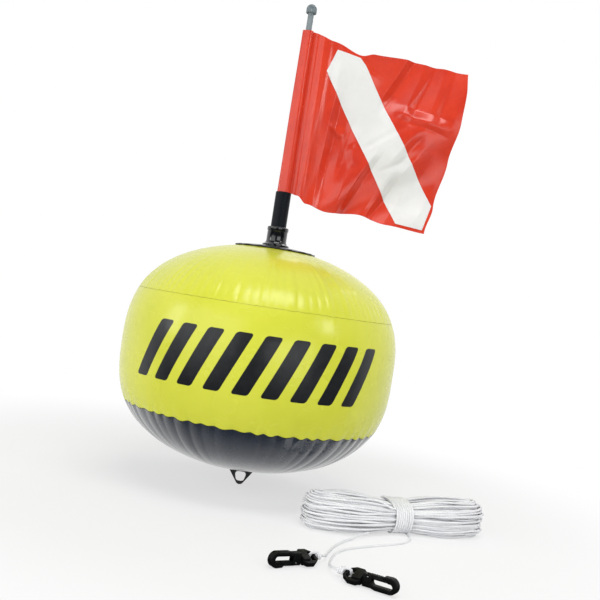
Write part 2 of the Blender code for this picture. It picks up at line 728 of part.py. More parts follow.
def make_valve(seat, material):
    bed_radii = [VALVE_STEM_RADIUS + (VALVE_FLANGE_RADIUS - VALVE_STEM_RADIUS) * step / 3 for step in range(4)]
    bed = [(radius, VALVE_SEAT_GAP - radius**2 / (2 * VALVE_DISH_RADIUS)) for radius in bed_radii]
    over = [(radius, height + VALVE_FLANGE) for radius, height in reversed(bed)]
    outline = [
        (VALVE_BORE_RADIUS, -VALVE_DROP),
        (VALVE_STEM_RADIUS, -VALVE_DROP),
        *bed,
        *over,
        (VALVE_STEM_RADIUS, VALVE_RISE),
        (VALVE_BORE_RADIUS, VALVE_RISE),
    ]
    body = turned("valve_body", outline, ROUND_SIDES, material, seat)
    half_strap = CAP_STRAP_WIDTH / 2
    hinge_y = VALVE_STEM_RADIUS + CAP_HINGE_OUT
    lug_shape = [
        (-half_strap, VALVE_STEM_RADIUS - VALVE_WALL / 2),
        (half_strap, VALVE_STEM_RADIUS - VALVE_WALL / 2),
        (half_strap, hinge_y),
        (-half_strap, hinge_y),
    ]
    boolean(body, "UNION", extruded("valve_lug", lug_shape, VALVE_RISE - CAP_LUG_HEIGHT, VALVE_RISE, parent=seat))
    flap_top = -VALVE_DROP - TOUCH_GAP
    flap_axis = add_empty(
        "valve_flap_axis", Matrix.Translation((0, FLAP_HINGE_OUT, flap_top - FLAP_FILM / 2)), seat
    )
    flap_shape = arc((0, -FLAP_HINGE_OUT), FLAP_RADIUS, *FLAP_ARC_DEG, 14) + [
        (FLAP_EAR_WIDTH / 2, 0),
        (-FLAP_EAR_WIDTH / 2, 0),
    ]
    extruded("valve_flap", flap_shape, -FLAP_FILM / 2, FLAP_FILM / 2, material, flap_axis)
    cap_axis = add_empty(
        "valve_cap_axis",
        Matrix.Translation((0, hinge_y, VALVE_RISE + TOUCH_GAP + VALVE_CAP_THICKNESS / 2)),
        seat,
    )
    half_cap = VALVE_CAP_THICKNESS / 2
    cap = turned(
        "valve_cap",
        [
            (0, -half_cap - STOPPER_LENGTH),
            (STOPPER_TIP_RADIUS, -half_cap - STOPPER_LENGTH),
            (STOPPER_RADIUS, -half_cap - STOPPER_LENGTH / 3),
            (STOPPER_RADIUS, -half_cap),
            (VALVE_CAP_RADIUS, -half_cap),
            (VALVE_CAP_RADIUS, half_cap),
            (0, half_cap),
        ],
        ROUND_SIDES,
        material,
        cap_axis,
    )
    for vertex in cap.data.vertices:
        vertex.co.y -= hinge_y
    strap_shape = [
        (-half_strap, 0),
        (-half_strap, -hinge_y + VALVE_CAP_RADIUS / 2),
        (half_strap, -hinge_y + VALVE_CAP_RADIUS / 2),
        (half_strap, 0),
    ]
    half_thickness = half_cap * CAP_STRAP_THICKNESS_SHARE
    strap = extruded("cap_strap", strap_shape, -half_thickness, half_thickness, parent=cap_axis)
    barrel = rod_mesh(
        "cap_barrel", half_cap, (-half_strap, 0, 0), (half_strap, 0, 0), SMALL_SIDES, parent=cap_axis
    )
    boolean(strap, "UNION", barrel)
    boolean(cap, "UNION", strap)


def mix(first, second, share):
    return first + (second - first) * share


def squared(angle, roundness):
    """The cosine and sine of an angle on a circle that is drawn out towards a square."""
    reach, bow = math.cos(angle), math.sin(angle)
    return math.copysign(abs(reach) ** roundness, reach), math.copysign(abs(bow) ** roundness, bow)


def hank_point(turn):
    """A point of the hank's loops in the hank's own frame, after so many turns."""
    climbs = HANK_LAYERS - 1
    ramp_turns = (HANK_LAYERS * LOOPS_PER_LAYER - climbs * CLIMB_TURNS) / HANK_LAYERS
    layer = min(int(turn / (ramp_turns + CLIMB_TURNS)), climbs)
    into_layer = turn - layer * (ramp_turns + CLIMB_TURNS)
    spiral = min(1, into_layer / ramp_turns)
    inward = spiral if layer % 2 == 0 else 1 - spiral
    climb = max(0, into_layer - ramp_turns) / CLIMB_TURNS
    level = layer + climb * climb * (3 - 2 * climb)
    steps_in = inward * (LOOPS_PER_LAYER - 1)

    angle = math.tau * turn - math.acos(HANK_START / HANK_HALF_LENGTH)
    x = (HANK_HALF_LENGTH - END_STEP * steps_in) * math.cos(angle)
    near_waist = math.exp(-((x / WAIST_REACH) ** 2))
    outer_layer = abs(level - (HANK_LAYERS - 1) / 2) / ((HANK_LAYERS - 1) / 2)
    waist_width = WAIST_HALF_WIDTH * mix(1, WAIST_OUTER_LAYER_SHARE, outer_layer) - WAIST_STEP * steps_in
    half_width = mix(HANK_HALF_WIDTH - LOBE_STEP * steps_in, waist_width, near_waist)
    y = half_width * squared(angle, HANK_ROUNDNESS)[1]
    domed = math.sin(math.pi / 2 * inward)
    lobe_z = LINE_RADIUS + level * mix(LAYER_EDGE_PITCH, LAYER_CROWN_PITCH, domed)
    waist_pitch = mix(WAIST_LAYER_PITCH, WAIST_CROWN_PITCH, inward)
    waist_z = wrap_centre() + (level - (HANK_LAYERS - 1) / 2) * waist_pitch
    return Vector((x, y, mix(lobe_z, waist_z, near_waist)))


def wrap_centre():
    return LINE_RADIUS + WRAP_HALF_HEIGHT


def wrap_point(angle_deg):
    """A point of the winding round the waist, in the hank's own frame."""
    across, up = squared(math.radians(angle_deg), WRAP_ROUNDNESS)
    return Vector((
        WRAP_START + WRAP_PITCH * (angle_deg - WRAP_START_DEG) / 360,
        -WRAP_HALF_WIDTH * across,
        wrap_centre() + WRAP_HALF_HEIGHT * up,
    ))


def bezier(start, start_pull, end_pull, end, steps):
    """Points between two ends, leaving one and reaching the other along the pulls."""
    points = []
    for step in range(1, steps):
        share = step / steps
        rest = 1 - share
        points.append(
            start * rest**3
            + (start + start_pull) * (3 * rest * rest * share)
            + (end + end_pull) * (3 * rest * share * share)
            + end * share**3
        )
    return points


def hank_route():
    """The hank's centre line: the loops, the crossing to the waist, the winding, and its straight ends."""
    loops = HANK_LAYERS * LOOPS_PER_LAYER
    count = loops * LOOP_POINTS
    coils = [hank_point(loops * index / count) for index in range(count + 1)]
    last_deg = 270 + 360 * WRAP_TURNS
    wrap_count = round((last_deg - WRAP_START_DEG) / 360 * LOOP_POINTS)
    winding = [
        wrap_point(WRAP_START_DEG + (last_deg - WRAP_START_DEG) * index / wrap_count)
        for index in range(wrap_count + 1)
    ]
    leave = (coils[-1] - coils[-2]).normalized()
    arrive = (winding[1] - winding[0]).normalized()
    pull = (winding[0] - coils[-1]).length / 2.6
    crossing = bezier(coils[-1], leave * pull, -arrive * pull, winding[0], 6)
    straight = 2 * LINE_RADIUS
    first = coils[0] - (coils[1] - coils[0]).normalized() * straight
    last = winding[-1] + Vector((0, -straight, 0))
    return [first, *coils, *crossing, *winding, last]


def least_gap(points):
    """The least clear distance between stretches of the line that aren't next to each other."""
    line = np.array([tuple(point) for point in points])
    shares = np.linspace(0, 1, 6)[:-1]
    fine = np.concatenate([line[:-1] + (line[1:] - line[:-1]) * share for share in shares])
    lengths = np.linalg.norm(line[1:] - line[:-1], axis=1)
    begins = np.concatenate([[0], np.cumsum(lengths)[:-1]])
    places = np.concatenate([begins + lengths * share for share in shares])
    nearest = math.inf
    for point, place in zip(fine, places):
        apart = np.abs(places - place) > 8 * LINE_RADIUS
        nearest = min(nearest, np.linalg.norm(fine[apart] - point, axis=1).min())
    return nearest - 2 * LINE_RADIUS


def hank_matrix():
    place = Matrix.Translation((HANK_SPOT[0], HANK_SPOT[1], SURFACE_Z))
    return place @ Matrix.Rotation(math.radians(HANK_YAW_DEG), 4, "Z")


def smooth_route(route, spacing):
    """Reads a smooth curve through the route's points, at even steps."""
    route = [Vector(point) for point in route]
    padded = [2 * route[0] - route[1], *route, 2 * route[-1] - route[-2]]
    fine = []
    for before, start, end, after in zip(padded, padded[1:], padded[2:], padded[3:]):
        for step in range(ROUTE_FINENESS):
            share = step / ROUTE_FINENESS
            fine.append(
                0.5
                * (
                    2 * start
                    + (end - before) * share
                    + (2 * before - 5 * start + 4 * end - after) * share**2
                    + (3 * start - before - 3 * end + after) * share**3
                )
            )
    fine.append(route[-1])
    lengths = [0.0]
    for start, end in zip(fine, fine[1:]):
        lengths.append(lengths[-1] + (end - start).length)
    count = max(2, round(lengths[-1] / spacing))
    points, index = [], 0
    for step in range(count + 1):
        target = lengths[-1] * step / count
        while index < len(fine) - 2 and lengths[index + 1] < target:
            index += 1
        stretch = lengths[index + 1] - lengths[index]
        points.append(fine[index].lerp(fine[index + 1], (target - lengths[index]) / stretch))
    return points


def make_line(name, points, bevel_resolution, material):
    """A round cord along its centre line, with flat ends."""
    curve = bpy.data.curves.new(name, "CURVE")
    curve.dimensions = "3D"
    curve.bevel_depth = LINE_RADIUS
    curve.bevel_resolution = bevel_resolution
    curve.use_fill_caps = True
    spline = curve.splines.new("POLY")
    spline.points.add(len(points) - 1)
    for spot, point in zip(spline.points, points):
        spot.co = (*point, 1)
    return add_object(name, curve, material)


def hook_matrix(spot, yaw_deg):
    """A hook's frame: X from the eye's outer bar along the hook."""
    place = Matrix.Translation((spot[0], spot[1], SURFACE_Z + EYE_LIFT))
    turn = Matrix.Rotation(math.radians(yaw_deg), 4, "Z")
    return place @ turn @ Matrix.Rotation(-math.radians(HOOK_PITCH_DEG), 4, "Y")


def make_eye(prefix, seat, material):
    """The eye: a six-sided loop with a slot for the line, and the block that holds the swivel."""
    loop = rounded(
        [
            (0, -EYE_BAR_WIDTH / 2),
            (EYE_WIDEST, -EYE_WIDTH / 2),
            (EYE_LENGTH - EYE_BAR, -EYE_WIDTH / 2),
            (EYE_LENGTH, -EYE_SHOULDER_WIDTH / 2),
            (EYE_LENGTH, EYE_SHOULDER_WIDTH / 2),
            (EYE_LENGTH - EYE_BAR, EYE_WIDTH / 2),
            (EYE_WIDEST, EYE_WIDTH / 2),
            (0, EYE_BAR_WIDTH / 2),
        ],
        EYE_ROUND,
        2,
    )
    eye = extruded(prefix + "_eye", loop, -EYE_THICKNESS / 2, EYE_THICKNESS / 2, material, seat)
    bevelled(eye, EDGE_ROUND)
    slot_end = EYE_BAR + SLOT_LENGTH
    block_shape = rounded(
        [
            (slot_end - EDGE_ROUND, -BLOCK_WIDTH / 2),
            (EYE_LENGTH, -BLOCK_WIDTH / 2),
            (EYE_LENGTH, BLOCK_WIDTH / 2),
            (slot_end - EDGE_ROUND, BLOCK_WIDTH / 2),
        ],
        BLOCK_ROUND,
        2,
    )
    block = extruded(prefix + "_block", block_shape, -BLOCK_THICKNESS / 2, BLOCK_THICKNESS / 2, parent=seat)
    bevelled(block, EDGE_ROUND)
    boolean(eye, "UNION", block)
    slot_shape = rounded(
        [
            (EYE_BAR, -SLOT_WIDTH / 2),
            (slot_end, -SLOT_WIDTH / 2),
            (slot_end, SLOT_WIDTH / 2),
            (EYE_BAR, SLOT_WIDTH / 2),
        ],
        SLOT_ROUND,
        2,
    )
    boolean(eye, "DIFFERENCE", extruded(prefix + "_slot", slot_shape, -EYE_THICKNESS, EYE_THICKNESS, parent=seat))
    bore = turned(
        prefix + "_bore",
        [
            (0, slot_end - EYE_BAR / 2),
            (SHAFT_HEAD_RADIUS + TOUCH_GAP, slot_end - EYE_BAR / 2),
            (SHAFT_HEAD_RADIUS + TOUCH_GAP, slot_end + SHAFT_HEAD + 2 * TOUCH_GAP),
            (SHAFT_RADIUS + TOUCH_GAP, slot_end + SHAFT_HEAD + 2 * TOUCH_GAP),
            (SHAFT_RADIUS + TOUCH_GAP, EYE_LENGTH + CUT_OVERRUN),
            (0, EYE_LENGTH + CUT_OVERRUN),
        ],
        SMALL_SIDES,
        parent=add_empty(prefix + "_bore_axis", Matrix.Rotation(math.pi / 2, 4, "Y"), seat),
    )
    boolean(eye, "DIFFERENCE", bore)


def hook_outline():
    """The hook's side view: knuckle, inner slot, gate seat, nose, round end and spine."""
    back = EYE_LENGTH + TOUCH_GAP
    slot_top = SLOT_HEIGHT / 2 + TOUCH_GAP
    slot_foot = slot_top - SLOT_HEIGHT
    slot_radius = SLOT_HEIGHT / 2
    slot_middle = (slot_top + slot_foot) / 2
    slot_start = back + KNUCKLE_LENGTH + slot_radius
    end_x = HOOK_LENGTH - HOOK_END_RADIUS
    slot_end = HOOK_LENGTH - SPINE - slot_radius - EDGE_ROUND
    nose_inner = slot_foot - GATE_TIP - TOUCH_GAP
    nose_outer = nose_inner - NOSE
    spine_outer = slot_top + SPINE
    middle = (spine_outer + nose_outer) / 2
    end_radius = (spine_outer - nose_outer) / 2
    nose_tip = end_x - NOSE_LENGTH
    pocket = nose_tip + GATE_TIP_LENGTH + TOUCH_GAP
    half_knuckle = KNUCKLE_WIDTH / 2
    outline = [
        (back, -half_knuckle),
        (back + KNUCKLE_LENGTH, -half_knuckle),
        *arc((slot_start, slot_middle), slot_radius, 180, 90, HOOK_ARC_STEPS // 2),
        *arc((slot_end, slot_middle), slot_radius, 90, -90, HOOK_ARC_STEPS),
        (pocket, slot_foot),
        (pocket, nose_inner),
        (nose_tip, nose_inner),
        (nose_tip - NOSE / 4, nose_inner - NOSE / 2),
        (nose_tip + NOSE / 4, nose_outer + NOSE / 8),
        *arc((end_x, middle), end_radius, 270, 450, HOOK_ARC_STEPS + 2),
        (back + KNUCKLE_LENGTH + SPINE, spine_outer),
        (back + KNUCKLE_LENGTH, half_knuckle),
        (back, half_knuckle),
    ]
    return outline, nose_tip, nose_inner, slot_foot


def make_hook(prefix, spot, yaw_deg, eye_roll_deg, hook_roll_deg, finishes):
    """One snap hook: eye, swivelling hook, gate, gate pin and the leaf that closes the gate."""
    place = add_empty(prefix + "_place", hook_matrix(spot, yaw_deg))
    eye_seat = add_empty(prefix + "_eye_seat", Matrix.Rotation(math.radians(eye_roll_deg), 4, "X"), place)
    make_eye(prefix, eye_seat, finishes["black"])
    swivel = add_empty(prefix + "_swivel_axis", Matrix.Rotation(math.radians(hook_roll_deg), 4, "X"), place)

    outline, nose_tip, nose_inner, slot_foot = hook_outline()
    body = extruded(
        prefix + "_body", outline, -HOOK_THICKNESS / 2, HOOK_THICKNESS / 2, finishes["black"], swivel
    )
    bevelled(body, EDGE_ROUND)
    slot_end = EYE_BAR + SLOT_LENGTH
    knuckle = EYE_LENGTH + TOUCH_GAP
    shaft = rod_mesh(
        prefix + "_shaft",
        SHAFT_RADIUS,
        (slot_end + SHAFT_HEAD, 0, 0),
        (knuckle + SPINE / 4, 0, 0),
        SMALL_SIDES,
        parent=swivel,
    )
    head = rod_mesh(
        prefix + "_head",
        SHAFT_HEAD_RADIUS,
        (slot_end + TOUCH_GAP, 0, 0),
        (slot_end + TOUCH_GAP + SHAFT_HEAD, 0, 0),
        SMALL_SIDES,
        parent=swivel,
    )
    boolean(shaft, "UNION", head)
    boolean(body, "UNION", shaft)

    pivot = (knuckle + GATE_PIVOT_IN, -GATE_PIVOT_DROP)
    half_fork = GATE_THICKNESS / 2 + TOUCH_GAP
    fork_shape = [
        (pivot[0] - FORK_BACK, -KNUCKLE_WIDTH),
        (pivot[0] + GATE_PIVOT_IN, -KNUCKLE_WIDTH),
        (pivot[0] + GATE_PIVOT_IN, TOUCH_GAP),
        (pivot[0] - FORK_BACK, TOUCH_GAP),
    ]
    boolean(body, "DIFFERENCE", extruded(prefix + "_fork", fork_shape, -half_fork, half_fork, parent=swivel))
    through = HOOK_THICKNESS / 2 + CUT_OVERRUN
    pin_hole = rod_mesh(
        prefix + "_pin_hole",
        GATE_PIN_RADIUS + GATE_PIN_PLAY,
        (*pivot, -through),
        (*pivot, through),
        SMALL_SIDES,
        parent=swivel,
    )
    boolean(body, "DIFFERENCE", pin_hole)

    gate_axis = add_empty(prefix + "_gate_axis", Matrix.Translation((*pivot, 0)), swivel)
    lever_foot = slot_foot - GATE_LEVER
    tip_x = nose_tip + GATE_TIP_LENGTH
    gate_shape = [
        *arc(pivot, GATE_ROOT_RADIUS, 90, 255, 6),
        (pivot[0] + GATE_ROOT_RADIUS, lever_foot),
        (nose_tip - NOSE / 2, lever_foot),
        (nose_tip - NOSE / 2, nose_inner + TOUCH_GAP),
        (tip_x, nose_inner + TOUCH_GAP),
        (tip_x, slot_foot),
        (pivot[0] + GATE_ROOT_RADIUS, slot_foot),
    ]
    local_shape = [(x - pivot[0], y - pivot[1]) for x, y in gate_shape]
    half_gate = GATE_THICKNESS / 2
    gate = extruded(prefix + "_gate", local_shape, -half_gate, half_gate, finishes["black"], gate_axis)
    bevelled(gate, EDGE_ROUND / 2)
    gate_hole = rod_mesh(
        prefix + "_gate_hole",
        GATE_PIN_RADIUS + GATE_PIN_PLAY,
        (0, 0, -through),
        (0, 0, through),
        SMALL_SIDES,
        parent=gate_axis,
    )
    boolean(gate, "DIFFERENCE", gate_hole)
    leaf_x = pivot[0] - FORK_BACK + TOUCH_GAP
    leaf = [
        (leaf_x, pivot[1] - SPRING_RISE),
        (leaf_x + SPRING_LEAF, pivot[1] - SPRING_RISE),
        (leaf_x + SPRING_LEAF, pivot[1] + SPRING_RISE),
        (leaf_x, pivot[1] + SPRING_RISE),
    ]
    half_leaf = SPRING_WIDTH / 2
    extruded(prefix + "_spring", leaf, -half_leaf, half_leaf, finishes["steel"], swivel)

    half_pin = HOOK_THICKNESS / 2
    rod_mesh(
        prefix + "_pin",
        GATE_PIN_RADIUS,
        (*pivot, -half_pin),
        (*pivot, half_pin),
        SMALL_SIDES,
        finishes["black"],
        swivel,
    )
    return eye_seat


def make_knot(name, eye_seat, side, material):
    """The line's turn round the eye's bar and the knot outside it."""
    half_bar = Vector((EYE_BAR / 2, 0, EYE_THICKNESS / 2))
    reach = LINE_RADIUS + TOUCH_GAP
    bm = bmesh.new()
    rings = []
    for step in range(RING_STEPS):
        turn = math.tau * step / RING_STEPS
        way = Vector((math.cos(turn), 0, math.sin(turn)))
        out, up = squared(turn, RING_ROUNDNESS)
        square = Vector((out * (half_bar.x + reach), 0, up * (half_bar.z + reach)))
        centre = Vector((half_bar.x, side * KNOT_OFFSET, 0)) + square
        rings.append([
            bm.verts.new(
                centre
                + way * (LINE_RADIUS * math.cos(math.tau * corner / RING_SIDES))
                + Vector((0, LINE_RADIUS * math.sin(math.tau * corner / RING_SIDES), 0))
            )
            for corner in range(RING_SIDES)
        ])
    for index, ring in enumerate(rings):
        following = rings[(index + 1) % RING_STEPS]
        for corner in range(RING_SIDES):
            other = (corner + 1) % RING_SIDES
            bm.faces.new((ring[corner], ring[other], following[other], following[corner]))
    knot = add_mesh(name, bm, material, eye_seat)
    ball = bmesh.new()
    out = KNOT_RADIUS * KNOT_STRETCH + TOUCH_GAP
    place = Matrix.Translation((-out, side * KNOT_OFFSET, 0)) @ Matrix.Diagonal((KNOT_STRETCH, 1, 1, 1))
    bmesh.ops.create_uvsphere(
        ball, u_segments=SMALL_SIDES, v_segments=RING_SIDES, radius=KNOT_RADIUS, matrix=place
    )
    boolean(knot, "UNION", add_mesh(name + "_ball", ball, parent=eye_seat))


def knot_exit(spot, yaw_deg, eye_roll_deg, side):
    """Where the free line meets a knot, just off its outer side."""
    seat = hook_matrix(spot, yaw_deg) @ Matrix.Rotation(math.radians(eye_roll_deg), 4, "X")
    out = 2 * KNOT_RADIUS * KNOT_STRETCH + 2 * TOUCH_GAP
    return seat @ Vector((-out, side * KNOT_OFFSET, 0)), seat @ Vector((-out - 2 * LINE_RADIUS, side * KNOT_OFFSET, 0))


def make_line_set(finishes):
    """The hank, its two free ends, and what is tied to them."""
    white = finishes["white"]
    local_route = hank_route()
    gap = least_gap(local_route)
    print(f"the hank's least gap to itself is {gap * 1000:.2f} mm")
    if gap < LINE_LEAST_GAP:
        print("the hank touches itself")
    place = hank_matrix()
    route = [place @ point for point in local_route]
    make_line("line_hank", route, 1, white)

    eye_a = make_hook("hook_a", HOOK_A_SPOT, HOOK_A_YAW_DEG, -EYE_ROLL_DEG, HOOK_ROLL_DEG, finishes)
    eye_b = make_hook("hook_b", HOOK_B_SPOT, HOOK_B_YAW_DEG, EYE_ROLL_DEG, -HOOK_ROLL_DEG, finishes)
    make_knot("knot_a", eye_a, -1, white)
    make_knot("knot_b", eye_b, 1, white)

    for name, stations, ends, knot in (
        ("line_tail_a", TAIL_A_ROUTE, (route[0], route[1]), (HOOK_A_SPOT, HOOK_A_YAW_DEG, -EYE_ROLL_DEG, -1)),
        ("line_tail_b", TAIL_B_ROUTE, (route[-1], route[-2]), (HOOK_B_SPOT, HOOK_B_YAW_DEG, EYE_ROLL_DEG, 1)),
    ):
        outward = (ends[0] - ends[1]).normalized()
        start = ends[0] + outward * TOUCH_GAP
        lead = start + outward * (2 * LINE_RADIUS)
        at_knot, before_knot = knot_exit(*knot)
        middle = [Vector((x, y, SURFACE_Z + height)) for x, y, height in stations]
        make_line(name, smooth_route([start, lead, *middle, before_knot, at_knot], ROUTE_STEP), 2, white)


def main():
    clear_scene()
    finishes = {
        "yellow": finish("yellow_film", (0.68, 0.73, 0.09), 0.28),
        "slate": finish("slate_film", (0.035, 0.045, 0.060), 0.35),
        "black": finish("black_plastic", (0.012, 0.014, 0.016), 0.35),
        "grey": finish("grey_plastic", (0.20, 0.25, 0.27), 0.45),
        "steel": finish("spring_steel", (0.55, 0.56, 0.57), 0.30, 1.0),
        "red": finish("red_film", (0.60, 0.035, 0.015), 0.30),
        "white_film": finish("white_film", (0.78, 0.78, 0.77), 0.35),
        "white": finish("white_line", (0.80, 0.80, 0.82), 0.80),
    }
    valve_seat = add_empty("valve_seat", valve_matrix())
    make_float(finishes, valve_seat)
    make_top_disc(finishes["black"])
    make_socket(finishes["black"])
    make_mast(finishes)
    make_flag_sheet(finishes["red"])
    make_stripe("flag_stripe_front", -1, finishes["white_film"])
    make_stripe("flag_stripe_back", 1, finishes["white_film"])
    make_tow_tab(finishes["black"])
    make_valve(valve_seat, finishes["black"])
    make_line_set(finishes)


main()
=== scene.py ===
"""The finish of a dive flag float: puckered film panels, a welded vinyl flag, moulded fittings and a
hanked braided line with its snap hooks. Metres, +Z up the mast, z = 0 at the lower seam.
"""

import math

import bmesh
import bpy
import numpy as np
from mathutils import Matrix, Vector


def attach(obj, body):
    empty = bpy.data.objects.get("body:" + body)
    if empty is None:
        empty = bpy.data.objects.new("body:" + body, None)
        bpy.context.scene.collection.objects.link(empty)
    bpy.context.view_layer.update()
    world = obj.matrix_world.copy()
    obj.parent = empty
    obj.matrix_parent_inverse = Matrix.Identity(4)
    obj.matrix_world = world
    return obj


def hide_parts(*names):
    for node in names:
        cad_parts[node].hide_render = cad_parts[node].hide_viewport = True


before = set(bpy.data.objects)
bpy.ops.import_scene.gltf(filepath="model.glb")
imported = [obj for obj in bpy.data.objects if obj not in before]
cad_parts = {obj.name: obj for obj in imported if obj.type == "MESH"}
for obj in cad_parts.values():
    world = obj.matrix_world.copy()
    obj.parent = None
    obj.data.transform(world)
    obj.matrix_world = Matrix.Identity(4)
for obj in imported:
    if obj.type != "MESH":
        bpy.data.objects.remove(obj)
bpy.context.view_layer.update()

# View
FRAME_PX = 600
FOCAL_PX = 807.7
CAMERA_SPOT = (0, -1.2, 0.1749)
CAMERA_PAN_DEG = 2.30
CAMERA_ROLL_DEG = 8.73
SURFACE_Z = -0.1091

# Clearances
TOUCH_GAP = 0.0003
CUT_OVERRUN = 0.004
MERGE_DISTANCE = 0.000002

# Float body
FLOAT_RADIUS = 0.200
CROWN_RISE = 0.1688
BELLY_DROP = 0.1588
CROWN_FULLNESS = 2.9
BELLY_FULLNESS = 2.7
EQUATOR_Z = 0.0772
UPPER_SEAM_Z = 0.1596
LOWER_SEAM_Z = 0.0
FILM = 0.0012
SEAM_LIP = 0.006
UPPER_SEAM_ROUND = 0.0003
LOWER_SEAM_ROUND = 0.0006
PANEL_SIDES = 720
PANEL_ROWS = 56
INNER_ROWS = 10
CROWN_Z = EQUATOR_Z + CROWN_RISE
BELLY_Z = EQUATOR_Z - BELLY_DROP

# Puckers that the welded seams draw into the film
UPPER_PUCKERS = 88
LOWER_PUCKERS = 58
UPPER_PUCKER = 0.00055
LOWER_PUCKER = 0.0009
PUCKER_STRENGTH_SHARES = (0.45, 1.0)
SEAM_SCALLOP = 0.0023
UPPER_SCALLOP = 0.0006
SCALLOP_REACH = 0.006
PUCKER_RIPPLES = (3, 7, 16)
PILLOW_FULLNESS = 0.8
PUCKER_FADE = 1.2
PUCKER_MEAN_SHARE = 0.45
DISC_CALM_REACH = 0.03
VALVE_CALM_REACH = 0.02

# The puckers of a seam on a panel: its height, their count and depth, how they grow away from it,
# the least and greatest reach, how deep the edge is scalloped, and the seed
UPPER_SHORT = (UPPER_SEAM_Z, UPPER_PUCKERS, UPPER_PUCKER, 0.030, (0.005, 0.009), UPPER_SCALLOP, 21)
UPPER_LONG = (UPPER_SEAM_Z, UPPER_PUCKERS, UPPER_PUCKER, 0.007, (0.016, 0.034), UPPER_SCALLOP, 21)
LOWER_SHORT = (LOWER_SEAM_Z, LOWER_PUCKERS, LOWER_PUCKER, 0.012, (0.007, 0.014), SEAM_SCALLOP, 34)
LOWER_LONG = (LOWER_SEAM_Z, LOWER_PUCKERS, LOWER_PUCKER, 0.016, (0.016, 0.042), SEAM_SCALLOP, 34)

# Slow unevenness of the film: lobes round the float, turn with height, phase and depth
BODY_WAVES = [(3, 31, 0, 0.0002), (5, -47, 1.3, 0.0002), (8, 58, 2.1, 0.00014)]

# Crown disc, socket and mast
DISC_RADIUS = 0.059
DISC_FILM = 0.0016
DISC_WAVE = 0.0009
DISC_RIM_BOW = 0.0004
DISC_CALM_SHARE = 0.6
DISC_SPREAD_SHARE = 0.012
DISC_ROWS = 18
DISC_SIDES = 240
DISC_TOP_Z = CROWN_Z + TOUCH_GAP + DISC_FILM
SOCKET_RADIUS = 0.0150
SOCKET_LIP_Z = DISC_TOP_Z + 0.0285
SOCKET_FLOOR_Z = DISC_TOP_Z - 0.034
SOCKET_FLOOR = 0.003
FLARE_RADIUS = 0.0198
FLARE_EDGE = 0.002
FLARE_HEIGHT = 0.0085
LIP_ROUND = 0.0013
LIP_BEAD = 0.0008
LIP_BEAD_HEIGHT = 0.0052
TUBE_RADIUS = 0.0115
TUBE_CHAMFER = 0.0008
SOCKET_BORE = TUBE_RADIUS + TOUCH_GAP
SPIGOT_RADIUS = SOCKET_BORE + 0.0027
TUBE_TOP_Z = DISC_TOP_Z + 0.081
ROD_RADIUS = 0.0045
FLAG_HOIST = 0.2415
FLAG_FOOT_Z = TUBE_TOP_Z + TOUCH_GAP
CAP_FOOT_Z = FLAG_FOOT_Z + FLAG_HOIST + 0.027
CAP_TOP_Z = CAP_FOOT_Z + 0.0136
CAP_RADIUS = 0.0078
CAP_SKIRT = 0.0016
CAP_HOLLOW = 0.0035
CAP_CROWN = 0.003
CAP_EDGE = 0.0006
PIN_RADIUS = 0.0018
PIN_INSET = 0.0008
PIN_DROP = 0.0066
PIN_EDGE = 0.0004
ROD_SIDES = 32
ROD_RINGS = 300
ROD_UNEVEN = 0.00022
ROD_BORE = ROD_RADIUS + TOUCH_GAP
MAST_FOOT_Z = SOCKET_FLOOR_Z + TOUCH_GAP
ROUND_SIDES = 96
SMALL_SIDES = 24
WEDGES = 8

# Flag
FLAG_FLY = 0.2497
FLAG_FILM = 0.0006
STRIPE_FILM = 0.0004
POCKET_FOOT_RADIUS = 0.0097
POCKET_HEAD_RADIUS = 0.0082
POCKET_HEM = 0.012
POCKET_FLAT_DEG = 250
POCKET_FLAT_HALF_DEG = 40
WELD_RIDGE = 0.0006
FLAG_COLUMNS = 190
POCKET_COLUMNS = 40
HEM_COLUMNS = 8
FLAG_ROWS = 180
FOLD_DEPTH = 0.0085
FOLD_COUNT = 3.5
POCKET_FOLD_DEPTH = 0.0045
FLY_SWING = 0.012
POCKET_FOLD_PLACE_SHARE = 0.075
POCKET_FOLD_REACH_SHARE = 0.05
FAN_ROOT_SHARES = (-0.25, -0.45)
TOP_EDGE_SHARES = [
    (0, 0),
    (0.13, -0.035),
    (0.32, -0.095),
    (0.40, -0.072),
    (0.62, -0.058),
    (0.82, -0.073),
    (1, -0.09),
]
FOOT_EDGE_SHARES = [
    (0, 0),
    (0.05, -0.008),
    (0.12, -0.05),
    (0.28, -0.08),
    (0.5, -0.061),
    (0.72, -0.098),
    (1, -0.117),
]
FLY_EDGE_SHARES = [(0, 0.869), (0.17, 0.906), (0.46, 0.956), (0.70, 0.993), (0.88, 1.0), (1, 0.993)]
STRIPE_CORNER_SHARES = [
    (0.142, 0.776),
    (0.190, 0.918),
    (0.332, 0.888),
    (0.368, 0.851),
    (0.893, 0.063),
    (0.852, -0.098),
    (0.690, -0.082),
]

POCKET_SLACK_SHARE = 0.012
WELD_PLACE_SHARE = 0.6
WELD_REACH = 0.0016
COLUMN_SPREAD = 1.08
STRIPE_GRID = 260
STRIPE_ROOT_SHARE = 0.004
FLAG_SHARP_DEG = 60
CREASE_ROUND_SHARE = 0.007
CREASE_FADE_SHARE = 0.30

